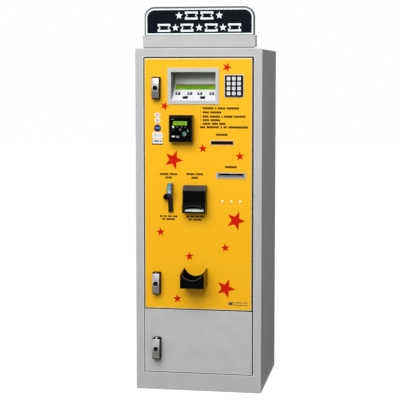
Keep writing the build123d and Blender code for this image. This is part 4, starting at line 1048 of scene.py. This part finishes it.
# Card reader, with places from the photograph
READER_SCREEN = (-71.5, 1178.5, 61.0, 17.0, 1.0)
READER_SCREEN_SHEET = 0.4
READER_TEXT = ((-71.5, 1181.5, 44, 3.6, (4, 6, 3)), (-71.5, 1175.5, 38, 3.6, (7, 4)))
READER_BADGE = ((-82, 1122.5, 14, 4, (3, 2)), (-82, 1117.5, 12, 3, (4,)))
READER_DISC = (-52.5, 1132.0)
READER_DOMES = {  # places, radius and material
    "reader_lamp": ([(-101.5, 1163.0)], 4.8, LAMP_ON),
    "reader_dots": ([(-83.5, 1162.0), (-64.5, 1162.0), (-48.0, 1162.0)], 3.0, DIM_MARK),
    "reader_knob": ([(-71.0, 1151.0)], 5.0, DIM_MARK),
    "reader_disc": ([READER_DISC], 10.3, TEAL_MARK),
}
READER_WEDGE = (7.0, -110, -10)  # on the disc: radius and angles
READER_SQUARE = ((-108.0, -96.0), (1146.0, 1157.0))
READER_SQUARE_LINE = 2.0
READER_MARKS = {
    "reader_pill": ([rounded_rectangle(-101, 1121.5, 15, 6, 2.5)], PALE_MARK),
    "reader_badge": (centred_lines(READER_BADGE), GREY_MARK),
    "reader_upper_mark": ([rounded_rectangle(-104, 1195, 8, 2.5, 1)], GREY_MARK),
    "reader_arrow": ([[(-40, 1155.5), (-40.5, 1141.5), (-32.5, 1142.5)]], MINT_MARK),
}


def reader_trim():
    """Screen, lamps, disc and small marks on the card reader's front."""
    face = limits("card_reader")[0].y
    plate("reader_screen", [rounded_rectangle(*READER_SCREEN)], face, READER_SCREEN_SHEET, SCREEN)
    plate("reader_screen_text", centred_lines(READER_TEXT), face - READER_SCREEN_SHEET, INK, SCREEN_INK)
    for name, (places, radius, material) in READER_DOMES.items():
        domes(name, places, radius, face, TRIM, material)
    inner = between(*READER_SQUARE, -READER_SQUARE_LINE)
    ring("reader_square", between(*READER_SQUARE), inner, face, INK, FAINT_MARK)
    wedge = [READER_DISC] + arc(*READER_DISC, *READER_WEDGE, steps=10)
    plate("reader_wedge", [wedge], face - TRIM, INK, SAND_MARK)
    for name, (outlines, material) in READER_MARKS.items():
        plate(name, outlines, face, INK, material)


# Receipt mouth
RECEIPT_MOUTH = ((56.5, 152.5), (1087.0, 1101.0))
RECEIPT_SLOT = ((62.5, 146.5), (1091.0, 1097.0))
RECEIPT_RIM = 2.2


def receipt_trim():
    """Thin pale rim round the receipt mouth and a black facing in it, with the slot left open."""
    outer, inner = between(*RECEIPT_MOUTH, RECEIPT_RIM), between(*RECEIPT_MOUTH, RIM_GAP)
    ring("receipt_rim", outer, inner, OVERLAY_Y, TRIM, SATIN_RIM)
    mouth_y = limits("receipt_printer")[0].y
    ring("receipt_facing", between(*RECEIPT_MOUTH), between(*RECEIPT_SLOT), mouth_y, INK, FINE_BLACK)


# Lit strip of the banknote slot, in its pocket
POCKET_DEPTH = 18.0
POCKET_FLOOR_Z = 799.0
POCKET_ARCH = (812.0, 823.0)  # at its ends and in its middle
POCKET_WIDTH = 88.0
NOTE_SLOT_Z = 803.0
NOTE_SLOT_WIDTH = 78.0
STRIP_CURVE = 9.0  # fall of the strip's edges from its middle to its ends
STRIP_SETBACK = 4.0
STRIP_GAP = 2.0
GUIDE_DEPTH = 16.0
GUIDE_RISE = 4.5
GUIDE_GAP = 0.5
# Width of the painted highlight round the pocket's arch
ARCH_HIGHLIGHT_WIDTH = 1.0


def strip(edge_y, fall, width, wall, steps=12):
    """Top-view outline of the strip: a shallow arch of points, and a straight edge along the wall."""
    x = middle("note_bezel").x
    shares = steps_between(-1, 1, steps + 1)
    edge = [(x + share * width / 2, edge_y + fall * share**2) for share in shares]
    return edge + [(edge[-1][0], wall), (edge[0][0], wall)]


def note_trim():
    """Lit strip along the pocket's floor and through the slot, and a painted highlight round the pocket's
    arch.
    """
    front, x = limits("note_bezel")[0].y, middle("note_bezel").x
    wall, width = front + POCKET_DEPTH, POCKET_WIDTH - 2 * STRIP_GAP
    floor = strip(front + STRIP_SETBACK, STRIP_CURVE, width, wall)
    prisms("note_light_floor", [floor], POCKET_FLOOR_Z, POCKET_FLOOR_Z + THIN, LIT_STRIP, view=top_view)
    foot_z, foot_height = (POCKET_FLOOR_Z + NOTE_SLOT_Z) / 2, NOTE_SLOT_Z - POCKET_FLOOR_Z - THIN
    plate("note_light_foot", [rectangle(x, foot_z, width, foot_height)], wall, THIN, LIT_STRIP)

    def ramp_view(x, y, z):
        return Vector((x, y, z + GUIDE_RISE * (y - wall) / GUIDE_DEPTH))

    guide = strip(wall + GUIDE_DEPTH, -STRIP_CURVE, NOTE_SLOT_WIDTH - 2 * GUIDE_GAP, wall)
    prisms("note_light_guide", [guide], NOTE_SLOT_Z, NOTE_SLOT_Z + THIN, LIT_STRIP, view=ramp_view)
    # painted highlight round the pocket's arch
    half, sag = POCKET_WIDTH / 2, POCKET_ARCH[1] - POCKET_ARCH[0]
    radius = (half**2 + sag**2) / (2 * sag)
    end = 90 - degrees(asin(half / radius))
    line = band(x, POCKET_ARCH[1] - radius, radius, ARCH_HIGHLIGHT_WIDTH, end, 180 - end, steps=20)
    plate("note_arch_painted_highlight", [line], front, INK, PAINTED_RIM_HIGHLIGHT)


# Cup rim: the scoop's radius, the height of its lowest point in front and the front corners
CUP_SCOOP_R = 49.5
CUP_SCOOP_Z = 505.0
CUP_CORNER_Z = 530.0
# Width and gap of the painted highlight along the cup's rim
CUP_HIGHLIGHT_WIDTH = 1.2
CUP_HIGHLIGHT_GAP = 0.5


def cup_trim():
    """Painted highlight along the cup's front rim."""
    x, z = middle("coin_cup").x, CUP_SCOOP_Z + CUP_SCOOP_R
    end = -degrees(asin((z - CUP_CORNER_Z) / CUP_SCOOP_R))
    line = band(x, z, CUP_SCOOP_R + CUP_HIGHLIGHT_GAP, CUP_HIGHLIGHT_WIDTH, -180 - end, end, steps=24)
    plate("cup_rim_painted_highlight", [line], limits("coin_cup")[0].y, INK, PAINTED_RIM_HIGHLIGHT)


# Camera at the photograph's place and angle, with angles in degrees
CAMERA_PLACE = (0.9047, -5.5297, 1.383)
CAMERA_YAW = 9.678
CAMERA_PITCH = -4.929
CAMERA_LENS = 111.16
CAMERA_SENSOR = 36.0
CAMERA_SHIFT = -0.045

# Light. Brightness 1 is white
PLAIN_WHITE = (1, 1, 1, 1)
AMBIENT = 0.32
FLOOR_SIZE = 40.0
FLOOR_ALBEDO = 0.24
FLOOR_GLOW = 0.94
CARD_GLOW = 0.03
LAMPS = {  # place, target, width, height and power
    "key": ((-0.4, -4.2, 3.9), (0, 0, 1.0), 4.0, 3.4, 260.0),
    "side": ((2.6, 0.1, 3.0), (0.28, 0.1, 1.2), 1.0, 1.0, 4.0),
}

# Dark cards that only reflections show, in pairs: limits in X, the wall card's Y and top, and the floor
# card's limits in Y
CARDS = {
    "front": ((-4.0, 4.0), -6.5, 3.6, (-6.5, -2.0)),
    "back": ((0.3, 8.0), 6.0, 4.0, (-1.5, 6.0)),
}
FLOOR_CARD_Z = 0.002


def seen_directly(tree):
    """Factor that is 1 for what the camera sees, also in reflections and through glass."""
    path = tree.nodes.new("ShaderNodeLightPath")
    seen = path.outputs["Is Camera Ray"]
    for other in ("Is Glossy Ray", "Is Transmission Ray"):
        either = feed(tree.nodes.new("ShaderNodeMath"), {0: seen, 1: path.outputs[other]})
        either.operation = "MAXIMUM"
        seen = either.outputs[0]
    return seen


def mix_shaders(tree, unseen, seen, output):
    """One shader for what lights the object and one for what the camera sees, to an output node."""
    parts = {0: seen_directly(tree), 1: unseen.outputs[0], 2: seen.outputs[0]}
    mix = feed(tree.nodes.new("ShaderNodeMixShader"), parts)
    feed(tree.nodes[output], {"Surface": mix.outputs[0]})


def make_world():
    """World that is white where it is seen and gives a plain ambient light."""
    world = bpy.data.worlds.new("studio")
    bpy.context.scene.world = world
    world.use_nodes = True
    tree = world.node_tree
    ambient = feed(tree.nodes["Background"], {"Color": PLAIN_WHITE, "Strength": AMBIENT})
    white = feed(tree.nodes.new("ShaderNodeBackground"), {"Color": PLAIN_WHITE})
    mix_shaders(tree, ambient, white, "World Output")


def stage_plane(name, corners, material):
    """Flat piece of the studio."""
    mesh = bpy.data.meshes.new(name)
    mesh.from_pydata(corners, [], [(0, 1, 2, 3)])
    mesh.materials.append(material)
    piece = bpy.data.objects.new(name, mesh)
    bpy.context.scene.collection.objects.link(piece)
    return piece


def ground(x, y, z):
    """Corners of a level rectangle."""
    return [(x[0], y[0], z), (x[1], y[0], z), (x[1], y[1], z), (x[0], y[1], z)]


def upright(x, y, z):
    """Corners of an upright rectangle across the view."""
    return [(x[0], y, z[0]), (x[1], y, z[0]), (x[1], y, z[1]), (x[0], y, z[1])]


def make_floor():
    """Pale floor that looks white and keeps a soft shadow."""
    material, shader, _ = new_material("floor")
    tree = material.node_tree
    colour = (FLOOR_ALBEDO, FLOOR_ALBEDO, FLOOR_ALBEDO, 1)
    feed(shader, {"Base Color": colour, "Roughness": 0.9, "Specular IOR Level": 0.0})
    glow = feed(tree.nodes.new("ShaderNodeEmission"), {"Strength": FLOOR_GLOW})
    bright = feed(tree.nodes.new("ShaderNodeAddShader"), {0: shader.outputs[0], 1: glow.outputs[0]})
    mix_shaders(tree, shader, bright, "Material Output")
    reach = (-FLOOR_SIZE / 2, FLOOR_SIZE / 2)
    stage_plane("floor", ground(reach, reach, 0), material)


def make_cards():
    """Dark cards that only reflections show, behind the camera and behind the object's right side."""
    material = new_material("dark_card")[0]
    nodes = material.node_tree.nodes
    glow = feed(nodes.new("ShaderNodeEmission"), {"Strength": CARD_GLOW})
    feed(nodes["Material Output"], {"Surface": glow.outputs[0]})
    for side, (x, wall_y, top, floor_y) in CARDS.items():
        cards = {
            f"{side}_wall_card": upright(x, wall_y, (0, top)),
            f"{side}_floor_card": ground(x, floor_y, FLOOR_CARD_Z),
        }
        for name, corners in cards.items():
            card = stage_plane(name, corners, material)
            card.visible_camera = False
            card.visible_diffuse = False
            card.visible_transmission = False
            card.visible_shadow = False


def make_lamps():
    """A large soft lamp in front of the object, high up, and a weak one over its right side."""
    for name, (place, target, width, height, power) in LAMPS.items():
        lamp = bpy.data.lights.new(name, "AREA")
        lamp.shape = "RECTANGLE"
        lamp.size = width
        lamp.size_y = height
        lamp.energy = power
        piece = bpy.data.objects.new(name, lamp)
        piece.location = place
        piece.rotation_euler = (Vector(target) - Vector(place)).to_track_quat("-Z", "Y").to_euler()
        bpy.context.scene.collection.objects.link(piece)


def make_camera():
    """Camera at the photograph's place and angle."""
    camera = bpy.data.cameras.new("camera")
    camera.lens = CAMERA_LENS
    camera.sensor_width = CAMERA_SENSOR
    camera.shift_y = CAMERA_SHIFT
    piece = bpy.data.objects.new("camera", camera)
    piece.location = CAMERA_PLACE
    piece.rotation_euler = (radians(90 + CAMERA_PITCH), 0, radians(CAMERA_YAW))
    bpy.context.scene.collection.objects.link(piece)
    bpy.context.scene.camera = piece


make_camera()
make_world()
make_floor()
make_cards()
make_lamps()
dress_packed_parts()
edges_and_seals()
back_trim()
stars()
instructions()
labels()
corner_mark()
stickers()
sign_print()
lock_trim()
keypad_trim()
display_trim()
reader_trim()
receipt_trim()
note_trim()
cup_trim()

bpy.context.scene.view_settings.view_transform = "Standard"
